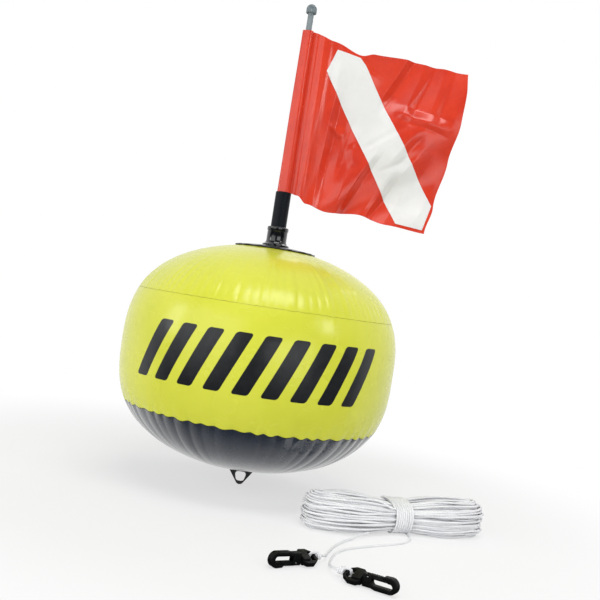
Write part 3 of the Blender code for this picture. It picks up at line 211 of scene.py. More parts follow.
# Creases in the flag's film: start and end as shares of fly and hoist, how far the two facets reach
# to the left and to the right of a crease that runs down, and its depth
FLAG_CREASES = [
    ((0.062, 1.10), (0.095, -0.10), (0.018, 0.022), -0.0012),
    ((0.150, 1.15), (0.125, 0.20), (0.030, 0.050), 0.0020),
    ((0.240, 0.92), (0.200, -0.20), (0.045, 0.130), 0.0080),
    ((0.330, 0.66), (0.300, 0.18), (0.030, 0.060), 0.0030),
    ((0.180, 0.52), (0.300, 0.48), (0.035, 0.050), -0.0026),
    ((0.345, 0.46), (0.400, 0.28), (0.050, 0.040), -0.0028),
    ((0.590, 0.46), (0.320, -0.14), (0.040, 0.125), 0.0080),
    ((0.730, 0.34), (0.540, -0.14), (0.040, 0.095), 0.0056),
    ((0.720, 1.12), (0.470, 0.62), (0.045, 0.120), 0.0074),
    ((0.840, 1.15), (0.660, 0.56), (0.060, 0.110), 0.0066),
    ((0.960, 1.18), (0.840, 0.58), (0.070, 0.090), 0.0052),
    ((0.540, 0.675), (0.980, 0.630), (0.040, 0.055), -0.0046),
    ((0.820, 0.60), (0.640, 0.30), (0.050, 0.060), 0.0040),
    ((0.400, 0.38), (0.700, 0.62), (0.030, 0.030), 0.0012),
    ((0.520, 0.24), (0.820, 0.48), (0.028, 0.028), 0.0013),
    ((0.260, 0.93), (0.480, 0.84), (0.050, 0.040), -0.0016),
    ((1.020, 0.50), (0.880, -0.05), (0.120, 0.080), -0.0030),
]

# Tow tab under the float
TAB_ROOT_WIDTH = 0.050
TAB_TIP_Z = BELLY_Z - 0.0272
TAB_THICKNESS = 0.003
TAB_TIP_RADIUS = 0.0065
TAB_HOLE_WIDTH = 0.018
TAB_HOLE_HEIGHT = 0.014
TAB_HOLE_ROUND = 0.005
TAB_HOLE_ABOVE_TIP = 0.0050
TAB_FOOT_LENGTH = 0.056
TAB_FOOT_WIDTH = 0.015
TAB_FOOT_FILM = 0.0014
TAB_EDGE = 0.0006

# Inflation valve
VALVE_OUT = 0.125
VALVE_FLANGE_RADIUS = 0.016
VALVE_FLANGE = 0.0012
VALVE_SEAT_GAP = 0.0004
VALVE_DISH_RADIUS = 0.205
VALVE_STEM_RADIUS = 0.0062
VALVE_BORE_RADIUS = 0.0036
VALVE_RISE = 0.0105
VALVE_DROP = 0.005
VALVE_WALL = 0.0027
VALVE_CAP_RADIUS = 0.0068
VALVE_CAP_THICKNESS = 0.0016
STOPPER_RADIUS = 0.0031
STOPPER_TIP_RADIUS = 0.0025
STOPPER_LENGTH = 0.0035
CAP_STRAP_WIDTH = 0.005
CAP_HINGE_OUT = 0.0030
CAP_LUG_HEIGHT = 0.004
FLAP_RADIUS = 0.0050
FLAP_FILM = 0.0006
FLAP_HINGE_OUT = 0.0058
FLAP_EAR_WIDTH = 0.004
CAP_HINGE_Y = VALVE_STEM_RADIUS + CAP_HINGE_OUT
VALVE_EDGE = 0.0004
VALVE_RIM_BOW = 0.0003
STRAP_THIN_SHARE = 0.8

# Line and its hank
LINE_RADIUS = 0.0015
LINE_LENGTH = 23.0
LINE_STEP = 0.0052
LINE_UNEVEN_SHARE = 0.07
PLAIT_LENGTH = 0.0042
PLAITS_ROUND = 4
HANK_HALF_LENGTH = 0.1305
HANK_HALF_WIDTH = 0.0410
HANK_HEIGHT = 0.0450
WAIST_HALF_WIDTH = 0.0245
WAIST_REACH = 0.045
WAIST_STEP = 0.0043
WAIST_LEVEL_PITCH = 0.00295
WAIST_OUTER_SHARE = 0.75
END_STEP = 0.0042
HANK_START = -0.040
HANK_ROUNDNESS = 0.65
LOOPS_IN_LAYER = (2, 3, 3, 3, 3, 3, 3, 3, 3, 4, 5, 4)
LOBE_STEPS = (
    *(0.0060, 0.0050) * 3,
    *(0.0060, 0.0045, 0.0040, 0.0036, 0.0035, 0.0034),
)
CLIMB_TURNS = 0.5
LOOP_POINTS = 96
LOBE_TOP_ROUNDNESS = 2.2
LOBE_FOOT_ROUNDNESS = 3.6
WANDER = 0.0019
WANDER_LENGTH = 0.055
LOOP_REACH_SPREAD_SHARE = 0.022
LOOP_WIDTH_SPREAD_SHARE = 0.05
LOOP_LEVEL_SPREAD = 0.30
LONGEST_REACH_SHARE = 0.01
STAGGER_SHARE = 0.3
CALM_WAIST_SHARE = 0.8
WANDER_SHARES = (0.5, 1, 0.8)
HELD_POINTS = 4
FREED_POINTS = 8
LOOP_SEED = 7
WANDER_SEED = 11
LINE_SEED = 5
KNOT_SEED = 9
END_NARROWING_SHARE = 0.90
WRAP_HALF_WIDTH = 0.0285
WRAP_HALF_HEIGHT = 0.0192
WRAP_PITCH = 0.0032
WRAP_START = -0.0135
WRAP_START_DEG = 40
WRAP_TURNS = 8
WRAP_ROUNDNESS = 0.80
HANK_SPOT = (0.2105, -0.132)
HANK_YAW_DEG = 18
PACKING_ROUNDS = 90
PACKING_SLACK_SHARE = 1.02
PACKING_PUSH_SHARE = 0.35
PAIRING_ROUNDS = 15
PAIRING_BLOCK = 400
SKIPPED_NEIGHBOURS = 4

# The free ends' routes, as places on the surface and heights above it
TAIL_A_ROUTE = [
    (0.1555, -0.1985, 0.0040),
    (0.1478, -0.2067, 0.0017),
    (0.1385, -0.2190, 0.0016),
    (0.1300, -0.2330, 0.0016),
    (0.1222, -0.2490, 0.0016),
    (0.1158, -0.2660, 0.0017),
    (0.1112, -0.2830, 0.0026),
    (0.1082, -0.2975, 0.0048),
]
TAIL_B_ROUTE = [
    (0.2290, -0.1560, 0.0016),
    (0.2270, -0.1730, 0.0016),
    (0.2140, -0.1930, 0.0016),
    (0.1886, -0.2116, 0.0016),
    (0.1620, -0.2307, 0.0016),
    (0.1400, -0.2480, 0.0016),
    (0.1252, -0.2680, 0.0016),
    (0.1165, -0.2910, 0.0017),
    (0.1120, -0.3140, 0.0026),
    (0.1112, -0.3330, 0.0050),
]

# Snap hooks, along their own length from the eye's outer bar
EYE_LENGTH = 0.0218
EYE_WIDTH = 0.024
EYE_BAR_WIDTH = 0.0115
EYE_WIDEST = 0.0085
EYE_SHOULDER_WIDTH = 0.0165
EYE_THICKNESS = 0.0052
EYE_ROUND = 0.0022
EYE_BAR = 0.0040
SLOT_LENGTH = 0.0066
SLOT_WIDTH = 0.0140
SLOT_ROUND = 0.0014
BLOCK_WIDTH = 0.0150
BLOCK_THICKNESS = 0.0088
BLOCK_ROUND = 0.0025
MOULD_ROUND = 0.0008
SHAFT_RADIUS = 0.0019
SHAFT_HEAD_RADIUS = 0.0029
SHAFT_HEAD = 0.0020
HOOK_LENGTH = 0.062
HOOK_THICKNESS = 0.0084
KNUCKLE_WIDTH = 0.0135
KNUCKLE_LENGTH = 0.0105
SPINE = 0.0046
SLOT_HEIGHT = 0.0060
HOOK_END_RADIUS = 0.0085
NOSE = 0.0036
NOSE_LENGTH = 0.0080
GATE_THICKNESS = 0.0054
GATE_TIP = 0.0025
GATE_TIP_LENGTH = 0.0052
GATE_LEVER = 0.0048
GATE_ROOT_RADIUS = 0.0025
GATE_ROUND = 0.0005
GATE_PIVOT_IN = 0.0062
GATE_PIVOT_DROP = 0.0042
GATE_PIN_RADIUS = 0.0009
GATE_PIN_PLAY = 0.0002
GATE_PIN_EDGE = 0.0002
LEVER_RIDGES = 5
RIDGE_HALF_WIDTH = 0.0008
RIDGE_DEPTH = 0.0005
FORK_BACK = 0.0034
HOOK_ARC_STEPS = 20
EYE_LIFT = 0.0068
HOOK_PITCH_DEG = 2.7
HOOKS = {
    "hook_a": {"spot": (0.0946, -0.3154), "yaw": 215, "eye_roll": -20, "hook_roll": 90, "side": -1},
    "hook_b": {"spot": (0.1250, -0.3527), "yaw": -35, "eye_roll": 20, "hook_roll": -90, "side": 1},
}
HOOK_START = EYE_LENGTH + TOUCH_GAP
GATE_PIVOT = (HOOK_START + GATE_PIVOT_IN, -GATE_PIVOT_DROP)
PIN_HOLE_HALF_LENGTH = HOOK_THICKNESS / 2 + CUT_OVERRUN
KNOT_RADIUS = 0.0046
KNOT_STRETCH = 1.15
KNOT_OFFSET = 0.0026
KNOT_WRAP = 0.00305
KNOT_WRAPS = 2.2
KNOT_STEP = 0.0009
KNOT_LEAN = 0.0008
KNOT_LEAD_SHARES = [(1, 0), (0.6, 0), (0.36, 0.0002)]
KNOT_WRAP_SHARES = (0.25, 0.80)
KNOT_WRAP_STEPS = 30
KNOT_RING_DEG = 165
KNOT_RING_STEP_DEG = 30
KNOT_TAIL = [(-0.0015, 0.0012, 0.0010), (-0.0030, 0.0034, 0.0012)]
RING_ROUNDNESS = 0.50

# Print on the band: slanted bars
BAR_WIDTH = 0.022
BAR_PITCH = 0.0375
BAR_COUNT = 9
BAR_LEAN_DEG = 24
BAR_CENTRE_Z = 0.086
BAR_HALF_HEIGHT = 0.039
BAR_CORNER = 0.004
BAR_EDGE = 0.0003

# Colours, each with the deeper, paler or worn tone that varies it
YELLOW = ((0.69, 0.715, 0.060), (0.64, 0.67, 0.046))
SLATE = ((0.018, 0.026, 0.044), (0.013, 0.020, 0.034))
BLACK_VINYL = ((0.010, 0.012, 0.015), (0.007, 0.008, 0.010))
BLACK_INK = ((0.006, 0.007, 0.009), (0.014, 0.016, 0.019))
BLACK_MOULDING = ((0.004, 0.005, 0.007), (0.010, 0.011, 0.013))
BLACK_TUBE = ((0.004, 0.006, 0.010), (0.009, 0.012, 0.017))
BLACK_NYLON = ((0.004, 0.0042, 0.0045), (0.012, 0.0125, 0.013))
GREY_FIBRE = ((0.13, 0.165, 0.18), (0.28, 0.33, 0.345))
GREY_MOULDING = ((0.15, 0.19, 0.205), (0.30, 0.35, 0.37))
RED = ((0.70, 0.044, 0.013), (0.58, 0.029, 0.010))
WHITE_VINYL = ((0.78, 0.78, 0.765), (0.72, 0.72, 0.71))
WHITE_BRAID = ((0.92, 0.925, 0.94), (0.83, 0.84, 0.865))
# Painted shade for the grooves between the braid's strands
BRAID_PAINTED_SHADE = (0.60, 0.62, 0.66)
STEEL = ((0.50, 0.51, 0.52), (0.66, 0.67, 0.68))

# Light
FLOOR_SIZE = 12.0
FLOOR_COLOUR = (0.86, 0.86, 0.86)
FLOOR_HELP_SHARE = 0.62
FLOOR_FADE = (0.35, 0.75)
ROOM_FLOOR = (0.0, 0.24)
ROOM_FLOOR_COLOUR = (0.05, 0.05, 0.055)
SKY_LEVEL = 0.32
ROOM_LEVEL = 0.12
BACKDROP_EDGE = (-0.35, 0.15)
LAMPS = [
    ("front_top", 9, 64, 2.4, (1.7, 0.8), 24),
    ("behind_right", 152, 50, 2.6, (1.5, 0.7), 12),
    ("left_side", -74, 14, 2.4, (0.5, 0.9), 7),
    ("right_side", 56, 27, 2.4, (0.5, 0.6), 6.5),
    ("front_left", -40, 13, 2.6, (2.2, 1.7), 19),
    ("low_front", 24, 4, 2.6, (1.8, 0.7), 9),
]
LAMP_AIM = (0, 0, 0.12)


class Value:
    """A shader socket that adds its own Math nodes when it stands in a sum."""

    def __init__(self, finish, made, socket):
        self.finish = finish
        self.made = made
        self.socket = socket

    def maths(self, operation, *operands):
        return self.finish.node("Math", {"operation": operation}, dict(enumerate(operands)))

    def output(self, name):
        return Value(self.finish, self.made, self.made.outputs[name])

    def __add__(self, other):
        return self.maths("ADD", self, other)

    __radd__ = __add__

    def __sub__(self, other):
        return self.maths("SUBTRACT", self, other)

    def __rsub__(self, other):
        return self.maths("SUBTRACT", other, self)

    def __mul__(self, other):
        return self.maths("MULTIPLY", self, other)

    __rmul__ = __mul__

    def __truediv__(self, other):
        return self.maths("DIVIDE", self, other)

    def __pow__(self, other):
        return self.maths("POWER", self, other)

    def __abs__(self):
        return self.maths("ABSOLUTE", self)

    def sine(self):
        return self.maths("SINE", self)

    def at_least(self, other):
        return self.maths("MAXIMUM", self, other)

    def at_most(self, other):
        return self.maths("MINIMUM", self, other)

    def between(self, low, high):
        """0 below low, 1 above high, and a smooth step between them."""
        sockets = {"Value": self, "From Min": low, "From Max": high}
        return self.finish.node("MapRange", {"interpolation_type": "SMOOTHSTEP"}, sockets)


class Nodes:
    """The nodes of a material or of the world."""

    def __init__(self, owner):
        owner.use_nodes = True
        self.tree = owner.node_tree

    def node(self, kind, settings=None, sockets=None, output=0):
        """A shader node: its settings first, then the values or links of its sockets."""
        made = self.tree.nodes.new("ShaderNode" + kind)
        for name, value in (settings or {}).items():
            setattr(made, name, value)
        for name, value in (sockets or {}).items():
            self.feed(made.inputs[name], value)
        return Value(self, made, made.outputs[output])

    def feed(self, socket, value):
        if isinstance(value, Value):
            self.tree.links.new(value.socket, socket)
        elif isinstance(value, tuple) and len(value) < len(socket.default_value):
            socket.default_value = (*value, 1)
        else:
            socket.default_value = value

    def place(self):
        return self.node("TexCoord", output="Object")

    def stretched(self, place, scale):
        return self.node("Mapping", sockets={"Vector": place, "Scale": scale})

    def noise(self, place, scale, detail=2.0, roughness=0.5):
        sockets = {"Vector": place, "Scale": scale, "Detail": detail, "Roughness": roughness}
        return self.node("TexNoise", sockets=sockets)

    def mix(self, share, first, second):
        return self.node("Mix", {"data_type": "RGBA"}, {0: share, 6: first, 7: second}, output=2)

    def bump(self, height, strength, distance, under=None):
        sockets = {"Height": height, "Strength": strength, "Distance": distance}
        if under:
            sockets["Normal"] = under
        return self.node("Bump", sockets=sockets)


class Finish(Nodes):
    """A material: its Principled surface and the nodes that feed it."""

    def __init__(self, name, **constants):
        self.material = bpy.data.materials.new(name)
        super().__init__(self.material)
        self.surface = self.tree.nodes["Principled BSDF"]
        self.set(**constants)

    def set(self, **sockets):
        for name, value in sockets.items():
            self.feed(self.surface.inputs[name.replace("_", " ").title().replace("Ior", "IOR")], value)


def bar_mask(finish, place):
    """1 on the slanted bars round the front of the band, 0 between them."""
    x = finish.node("SeparateXYZ", sockets={0: place}, output="X")
    azimuth = x.maths("ARCTAN2", x, 0 - x.output("Y"))
    height = x.output("Z") - BAR_CENTRE_Z
    along = azimuth * FLOAT_RADIUS - height * math.tan(math.radians(BAR_LEAN_DEG))
    nearest = (along / BAR_PITCH + 0.5).maths("FLOOR", along / BAR_PITCH + 0.5) * BAR_PITCH
    half_count = BAR_COUNT // 2
    nearest = nearest.at_least(-half_count * BAR_PITCH).at_most(half_count * BAR_PITCH)
    aside = (abs(along - nearest) - (BAR_WIDTH / 2 - BAR_CORNER)).at_least(0)
    above = (abs(height) - (BAR_HALF_HEIGHT - BAR_CORNER)).at_least(0)
    outside = (aside * aside + above * above) ** 0.5 - BAR_CORNER
    return 1 - outside.between(-BAR_EDGE, BAR_EDGE)


def film_finish(name, tones, roughness, coat, coat_ior=1.5, printed=False):
    """Welded PVC film: a soft gloss with a fine grain, faint scuffs and slow changes of depth."""
    finish = Finish(name, coat_weight=coat, coat_roughness=0.14, coat_IOR=coat_ior, IOR=1.42)
    place = finish.place()
    depth = finish.noise(place, 7, 4, 0.6)
    base = finish.mix(depth.between(0.35, 0.7), *tones)
    scuffs = finish.noise(finish.stretched(place, (1, 1, 4)), 55, 7, 0.72).between(0.58, 0.74)
    gloss = roughness + 0.05 * scuffs + 0.06 * (finish.noise(place, 22, 3) - 0.5)
    if printed:
        mask = bar_mask(finish, place)
        ink_wear = finish.noise(place, 120, 5, 0.65).between(0.3, 0.9)
        ink = finish.mix(ink_wear, *BLACK_INK)
        base = finish.mix(mask, base, ink)
        gloss = gloss + 0.10 * mask
    grain = finish.noise(place, 1300, 2, 0.5)
    waves = finish.noise(place, 34, 2, 0.45)
    soft = finish.bump(waves, 0.16, 0.0012)
    finish.set(base_color=base, roughness=gloss)
    finish.set(normal=finish.bump(grain, 0.04, 0.0002, soft))
    return finish.material


def moulded_finish(name, tones, roughness, grain_scale, grain_strength, coat=0.0, shine=0.5):
    """Moulded plastic: a fine spark-eroded grain, paler where handling has rubbed it."""
    finish = Finish(name, coat_weight=coat, coat_roughness=0.08, IOR=1.5, specular_ior_level=shine)
    place = finish.place()
    rubbed = finish.noise(place, 160, 6, 0.7).between(0.5, 0.8)
    grain = finish.noise(place, grain_scale, 3, 0.6)
    edge = finish.node("NewGeometry", output="Pointiness").between(0.52, 0.62)
    finish.set(base_color=finish.mix((rubbed * 0.5 + edge * 0.6).at_most(1), *tones))
    finish.set(roughness=roughness + 0.12 * rubbed + 0.06 * (grain - 0.5))
    finish.set(normal=finish.bump(grain, grain_strength, 0.0003))
    return finish.material


def tube_finish():
    """Black extruded tube with faint lengthwise die lines."""
    finish = Finish("black_tube", IOR=1.5, specular_ior_level=0.14)
    place = finish.place()
    lines = finish.noise(finish.stretched(place, (1, 1, 0.03)), 900, 2, 0.5)
    dust = finish.noise(place, 90, 6, 0.7).between(0.45, 0.8)
    finish.set(base_color=finish.mix(dust, *BLACK_TUBE))
    finish.set(roughness=0.42 + 0.14 * dust)
    finish.set(normal=finish.bump(lines, 0.18, 0.0003))
    return finish.material


def rod_finish():
    """Grey pultruded glass-fibre rod: long fibres, a dull surface."""
    finish = Finish("grey_rod", IOR=1.5, coat_weight=0.1)
    place = finish.place()
    fibres = finish.noise(finish.stretched(place, (1, 1, 0.02)), 1600, 3, 0.6)
    blotches = finish.noise(place, 140, 5, 0.65)
    finish.set(base_color=finish.mix(fibres * 0.6 + blotches * 0.4, *GREY_FIBRE))
    finish.set(roughness=0.42 + 0.18 * blotches)
    finish.set(normal=finish.bump(fibres * 0.5 + blotches * 0.5, 0.35, 0.0004))
    return finish.material


def flag_finish(name, tones, roughness, coat):
    """Thin calendered vinyl of the flag, with tiny crush marks."""
    finish = Finish(name, IOR=1.53, coat_weight=coat, coat_roughness=0.24)
    place = finish.place()
    depth = finish.noise(place, 14, 5, 0.65)
    crush = finish.noise(place, 75, 4, 0.6)
    ridges = 1 - abs(crush - 0.5) * 2
    marks = finish.noise(place, 210, 6, 0.7).between(0.6, 0.8)
    finish.set(base_color=finish.mix(depth.between(0.3, 0.72), *tones))
    finish.set(roughness=roughness + 0.12 * marks)
    soft = finish.bump(ridges, 0.16, 0.0008)
    finish.set(normal=finish.bump(finish.noise(place, 1500, 2), 0.08, 0.0002, soft))
    return finish.material


def line_finish():
    """White braided line: crossing strands along its length with painted shade between them, and a slightly
    furry surface.
    """
    finish = Finish("white_line", IOR=1.5, sheen_weight=0.35, sheen_roughness=0.5)
    around = finish.node("TexCoord", output="UV")
    u = finish.node("SeparateXYZ", sockets={0: around}, output="X")
    plaits = LINE_LENGTH / PLAIT_LENGTH
    left = ((u * plaits + u.output("Y") * PLAITS_ROUND) * math.tau).sine()
    right = ((u * plaits - u.output("Y") * PLAITS_ROUND) * math.tau).sine()
    braid = left.at_least(right) * 0.5 + 0.5
    place = finish.place()
    fluff = finish.noise(place, 1500, 4, 0.7)
    soiling = finish.noise(place, 38, 5, 0.6).between(0.35, 0.75)
    pale = finish.mix(soiling, *WHITE_BRAID)
    # The base colour is darkened in the grooves between the crossing strands: painted shade
    finish.set(base_color=finish.mix((1 - braid) * 0.35, pale, BRAID_PAINTED_SHADE))
    finish.set(roughness=0.75 + 0.15 * fluff)
    finish.set(normal=finish.bump(braid * 0.7 + fluff * 0.5, 0.6, 0.0005))
    return finish.material


def steel_finish(name, roughness):
    """Drawn stainless steel."""
    finish = Finish(name, metallic=1.0)
    place = finish.place()
    drawn = finish.noise(finish.stretched(place, (1, 1, 0.05)), 2400, 3, 0.6)
    finish.set(base_color=finish.mix(drawn, *STEEL))
    finish.set(roughness=roughness + 0.15 * drawn)
    finish.set(normal=finish.bump(drawn, 0.1, 0.0001))
    return finish.material


def make_finishes():
    """Every material by its name."""
    return {
        "yellow_film": film_finish("yellow_film", YELLOW, 0.27, 0.15, printed=True),
        "slate_film": film_finish("slate_film", SLATE, 0.27, 1.0, 1.85),
        "black_film": film_finish("black_film", BLACK_VINYL, 0.34, 0.1),
        "black_plastic": moulded_finish("black_plastic", BLACK_MOULDING, 0.14, 900, 0.05, coat=0.5),
        "black_tube": tube_finish(),
        "grey_rod": rod_finish(),
        "grey_plastic": moulded_finish("grey_plastic", GREY_MOULDING, 0.45, 1100, 0.25),
        "red_film": flag_finish("red_film", RED, 0.25, 0.05),
        "white_film": flag_finish("white_film", WHITE_VINYL, 0.36, 0.15),
        "white_line": line_finish(),
        "hook_nylon": moulded_finish("hook_nylon", BLACK_NYLON, 0.46, 1000, 0.25, shine=0.10),
        "hook_pin": steel_finish("hook_pin", 0.30),
        "spring_steel": steel_finish("spring_steel", 0.22),
    }


def linked(name, data):
    piece = bpy.data.objects.new(name, data)
    bpy.context.scene.collection.objects.link(piece)
    return piece


def from_bmesh(name, bm, matrix=None, sharp_deg=38):
    """The finished mesh as an object at the origin, its place in its mesh, smooth but for its edges."""
    bmesh.ops.remove_doubles(bm, verts=bm.verts, dist=MERGE_DISTANCE)
    bmesh.ops.recalc_face_normals(bm, faces=bm.faces)
    if matrix:
        bm.transform(matrix)
    mesh = bpy.data.meshes.new(name)
    bm.to_mesh(mesh)
    bm.free()
    mesh.shade_smooth()
    mesh.set_sharp_from_angle(angle=math.radians(sharp_deg))
    return linked(name, mesh)


def turned(name, outline, sides, matrix=None, sharp_deg=38):
    """Spins an outline of (radius, height) points round Z, one wedge and then its copies."""
    bm = bmesh.new()
    verts = [bm.verts.new((radius, 0, height)) for radius, height in outline]
    pairs = list(zip(verts, verts[1:]))
    if outline[0][0] > 0:
        pairs.append((verts[-1], verts[0]))
    edges = [bm.edges.new(pair) for pair in pairs]
    wedge = math.tau / WEDGES
    about = {"cent": (0, 0, 0), "axis": (0, 0, 1)}
    bmesh.ops.spin(bm, geom=verts + edges, angle=wedge, steps=sides // WEDGES, **about)
    whole = bm.verts[:] + bm.edges[:] + bm.faces[:]
    bmesh.ops.spin(bm, geom=whole, angle=math.tau - wedge, steps=WEDGES - 1, use_duplicate=True, **about)
    return from_bmesh(name, bm, matrix, sharp_deg)


def extruded(name, outline, low, high, matrix=None, sharp_deg=38):
    """Raises a flat outline of (x, y) points from one height to another."""
    bm = bmesh.new()
    face = bm.faces.new([bm.verts.new((x, y, low)) for x, y in outline])
    raised = bmesh.ops.extrude_face_region(bm, geom=[face])
    moved = [item for item in raised["geom"] if isinstance(item, bmesh.types.BMVert)]
    bmesh.ops.translate(bm, verts=moved, vec=(0, 0, high - low))
    return from_bmesh(name, bm, matrix, sharp_deg)


def rod_mesh(name, radius, start, end, sides, matrix=None, edge=0.0):
    """A round bar between two points, its rims eased by edge."""
    start, end = Vector(start), Vector(end)
    bm = bmesh.new()
    turn = (end - start).to_track_quat("Z", "Y").to_matrix().to_4x4()
    place = Matrix.Translation((start + end) / 2) @ turn
    bmesh.ops.create_cone(
        bm, cap_ends=True, segments=sides, radius1=radius, radius2=radius, depth=(end - start).length
    )
    if edge:
        rims = [rim for rim in bm.edges if rim.verts[0].co.z == rim.verts[1].co.z]
        bmesh.ops.bevel(bm, geom=rims, offset=edge, affect="EDGES", segments=3, profile=0.5, material=-1)
    bm.transform(place)
    return from_bmesh(name, bm, matrix)


def arc(centre, radius, start_deg, end_deg, steps):
    """Points of a circle's arc, from one angle to another."""
    angles = [math.radians(start_deg + (end_deg - start_deg) * step / steps) for step in range(steps + 1)]
    return [(centre[0] + radius * math.cos(angle), centre[1] + radius * math.sin(angle)) for angle in angles]


def rectangle(left, right, foot, top):
    return [(left, foot), (right, foot), (right, top), (left, top)]


def rounded(outline, radius, steps=6):
    """Replaces each corner of a flat outline by a small arc."""
    points = []
    for index, corner in enumerate(outline):
        corner = Vector(corner)
        before = Vector(outline[index - 1]) - corner
        after = Vector(outline[(index + 1) % len(outline)]) - corner
        half = before.angle(after) / 2
        reach = min(radius / math.tan(half), before.length / 2, after.length / 2)
        start = corner + before.normalized() * reach
        end = corner + after.normalized() * reach
        for step in range(steps + 1):
            share = step / steps
            bend = start.lerp(corner, share).lerp(corner.lerp(end, share), share)
            points.append((bend.x, bend.y))
    return points


def settle(piece, sharp_deg=38):
    """Keeps what the piece's modifiers make of it as its own mesh."""
    bpy.context.view_layer.update()
    evaluated = piece.evaluated_get(bpy.context.evaluated_depsgraph_get())
    mesh = bpy.data.meshes.new_from_object(evaluated)
    mesh.name = piece.name
    piece.modifiers.clear()
    piece.data = mesh
    mesh.shade_smooth()
    mesh.set_sharp_from_angle(angle=math.radians(sharp_deg))
    return piece


def joined(piece, operation, *others):
    """Cuts the others out of the piece, or adds them to it."""
    for other in others:
        step = piece.modifiers.new(other.name, "BOOLEAN")
        step.operation = operation
        step.object = other
        step.solver = "EXACT"
    settle(piece)
    for other in others:
        bpy.data.objects.remove(other, do_unlink=True)
    return piece


def eased(piece, width, segments=3, angle_deg=40):
    """Rounds the piece's edges."""
    step = piece.modifiers.new("Bevel", "BEVEL")
    step.width = width
    step.segments = segments
    step.limit_method = "ANGLE"
    step.angle_limit = math.radians(angle_deg)
    return settle(piece)


def thickened(piece, thickness):
    """Gives a sheet its thickness, half on each side."""
    wall = piece.modifiers.new("Film", "SOLIDIFY")
    wall.thickness = thickness
    wall.offset = 0
    return settle(piece, FLAG_SHARP_DEG)


def dress(piece, finishes, finish, body, *nodes):
    """Gives a piece its finish and the body that it rides on, and hides the CAD nodes that it stands for."""
    piece.data.materials.clear()
    piece.data.materials.append(finishes[finish])
    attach(piece, body)
    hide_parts(*nodes)
    return piece


def vertex_places(mesh):
    places = np.zeros(len(mesh.vertices) * 3)
    mesh.vertices.foreach_get("co", places)
    return places.reshape(-1, 3)


def move_vertices(mesh, places):
    mesh.vertices.foreach_set("co", places.astype(np.float32).ravel())
    mesh.update()


def make_camera():
    pan, roll = math.radians(CAMERA_PAN_DEG), math.radians(CAMERA_ROLL_DEG)
    forward = Vector((math.sin(pan), math.cos(pan), 0))
    level = Vector((math.cos(pan), -math.sin(pan), 0))
    upright = Vector((0, 0, 1))
    right = level * math.cos(roll) + upright * math.sin(roll)
    up = upright * math.cos(roll) - level * math.sin(roll)
    data = bpy.data.cameras.new("camera")
    data.lens = FOCAL_PX * data.sensor_width / FRAME_PX
    camera = linked("camera", data)
    turn = Matrix((right, up, -forward)).transposed().to_4x4()
    camera.matrix_world = Matrix.Translation(CAMERA_SPOT) @ turn
    bpy.context.scene.camera = camera


def mix(first, second, share):
    return first + (second - first) * share


def eased_step(share):
    share = np.clip(share, 0, 1)
    return share * share * (3 - 2 * share)


def squared(angle, roundness):
    """The cosine and sine of an angle on a circle that is drawn out towards a square."""
    reach, bow = np.cos(angle), np.sin(angle)
    return np.copysign(np.abs(reach) ** roundness, reach), np.copysign(np.abs(bow) ** roundness, bow)


def hank_loops():
    """The loops' centre line in the hank's own frame: layer on layer, spiralling in and out again."""
    layers = len(LOOPS_IN_LAYER)
    climbs = layers - 1
    ramps = np.array([loops - CLIMB_TURNS * climbs / layers for loops in LOOPS_IN_LAYER])
    starts = np.concatenate([[0], np.cumsum(ramps[:-1] + CLIMB_TURNS)])
    total = sum(LOOPS_IN_LAYER)
    turns = np.linspace(0, total, total * LOOP_POINTS + 1)
    layer = np.searchsorted(starts, turns, side="right") - 1
    into_layer = turns - starts[layer]
    spiral = np.minimum(1, into_layer / ramps[layer])
    inward = np.where(layer % 2 == 0, spiral, 1 - spiral)
    level = layer + eased_step((into_layer - ramps[layer]) / CLIMB_TURNS)

    dice = np.random.default_rng(LOOP_SEED)
    reach_change, width_change, level_change = [
        np.interp(turns * 2, np.arange(2 * total + 1), dice.normal(0, spread, 2 * total + 1))
        for spread in (LOOP_REACH_SPREAD_SHARE, LOOP_WIDTH_SPREAD_SHARE, LOOP_LEVEL_SPREAD)
    ]
    level = np.clip(level + level_change, 0, climbs)

    every = np.arange(layers)
    height_share = (2 * every + 1) / layers - 1
    fullness = np.where(height_share > 0, LOBE_TOP_ROUNDNESS, LOBE_FOOT_ROUNDNESS)
    breadth = (1 - np.abs(height_share) ** fullness) ** (1 / fullness)
    steps_in = inward * (np.interp(level, every, LOOPS_IN_LAYER) - 1)
    breadth_here = np.interp(level, every, breadth)
    lobe = HANK_HALF_WIDTH * breadth_here - np.interp(level, every, LOBE_STEPS) * steps_in
    centred = level - climbs / 2
    outer_layer = np.abs(centred) / (climbs / 2)
    waist = WAIST_HALF_WIDTH * mix(1, WAIST_OUTER_SHARE, outer_layer**2) - WAIST_STEP * steps_in

    angle = math.tau * turns - math.acos(HANK_START / HANK_HALF_LENGTH)
    length = (HANK_HALF_LENGTH - END_STEP * steps_in) * mix(END_NARROWING_SHARE, 1, breadth_here)
    length = length * (1 + np.minimum(LONGEST_REACH_SHARE, reach_change))
    x = length * np.cos(angle)
    near_waist = np.exp(-((x / WAIST_REACH) ** 2))
    y = mix(lobe * (1 + width_change), waist, near_waist) * squared(angle, HANK_ROUNDNESS)[1]
    lobe_pitch = (HANK_HEIGHT - 2 * LINE_RADIUS) / climbs
    staggered = STAGGER_SHARE * lobe_pitch * np.sin(math.pi * steps_in)
    lobe_z = LINE_RADIUS + level * lobe_pitch + staggered
    waist_z = LINE_RADIUS + WRAP_HALF_HEIGHT + centred * WAIST_LEVEL_PITCH
    return np.column_stack([x, y, mix(lobe_z, waist_z, near_waist)])


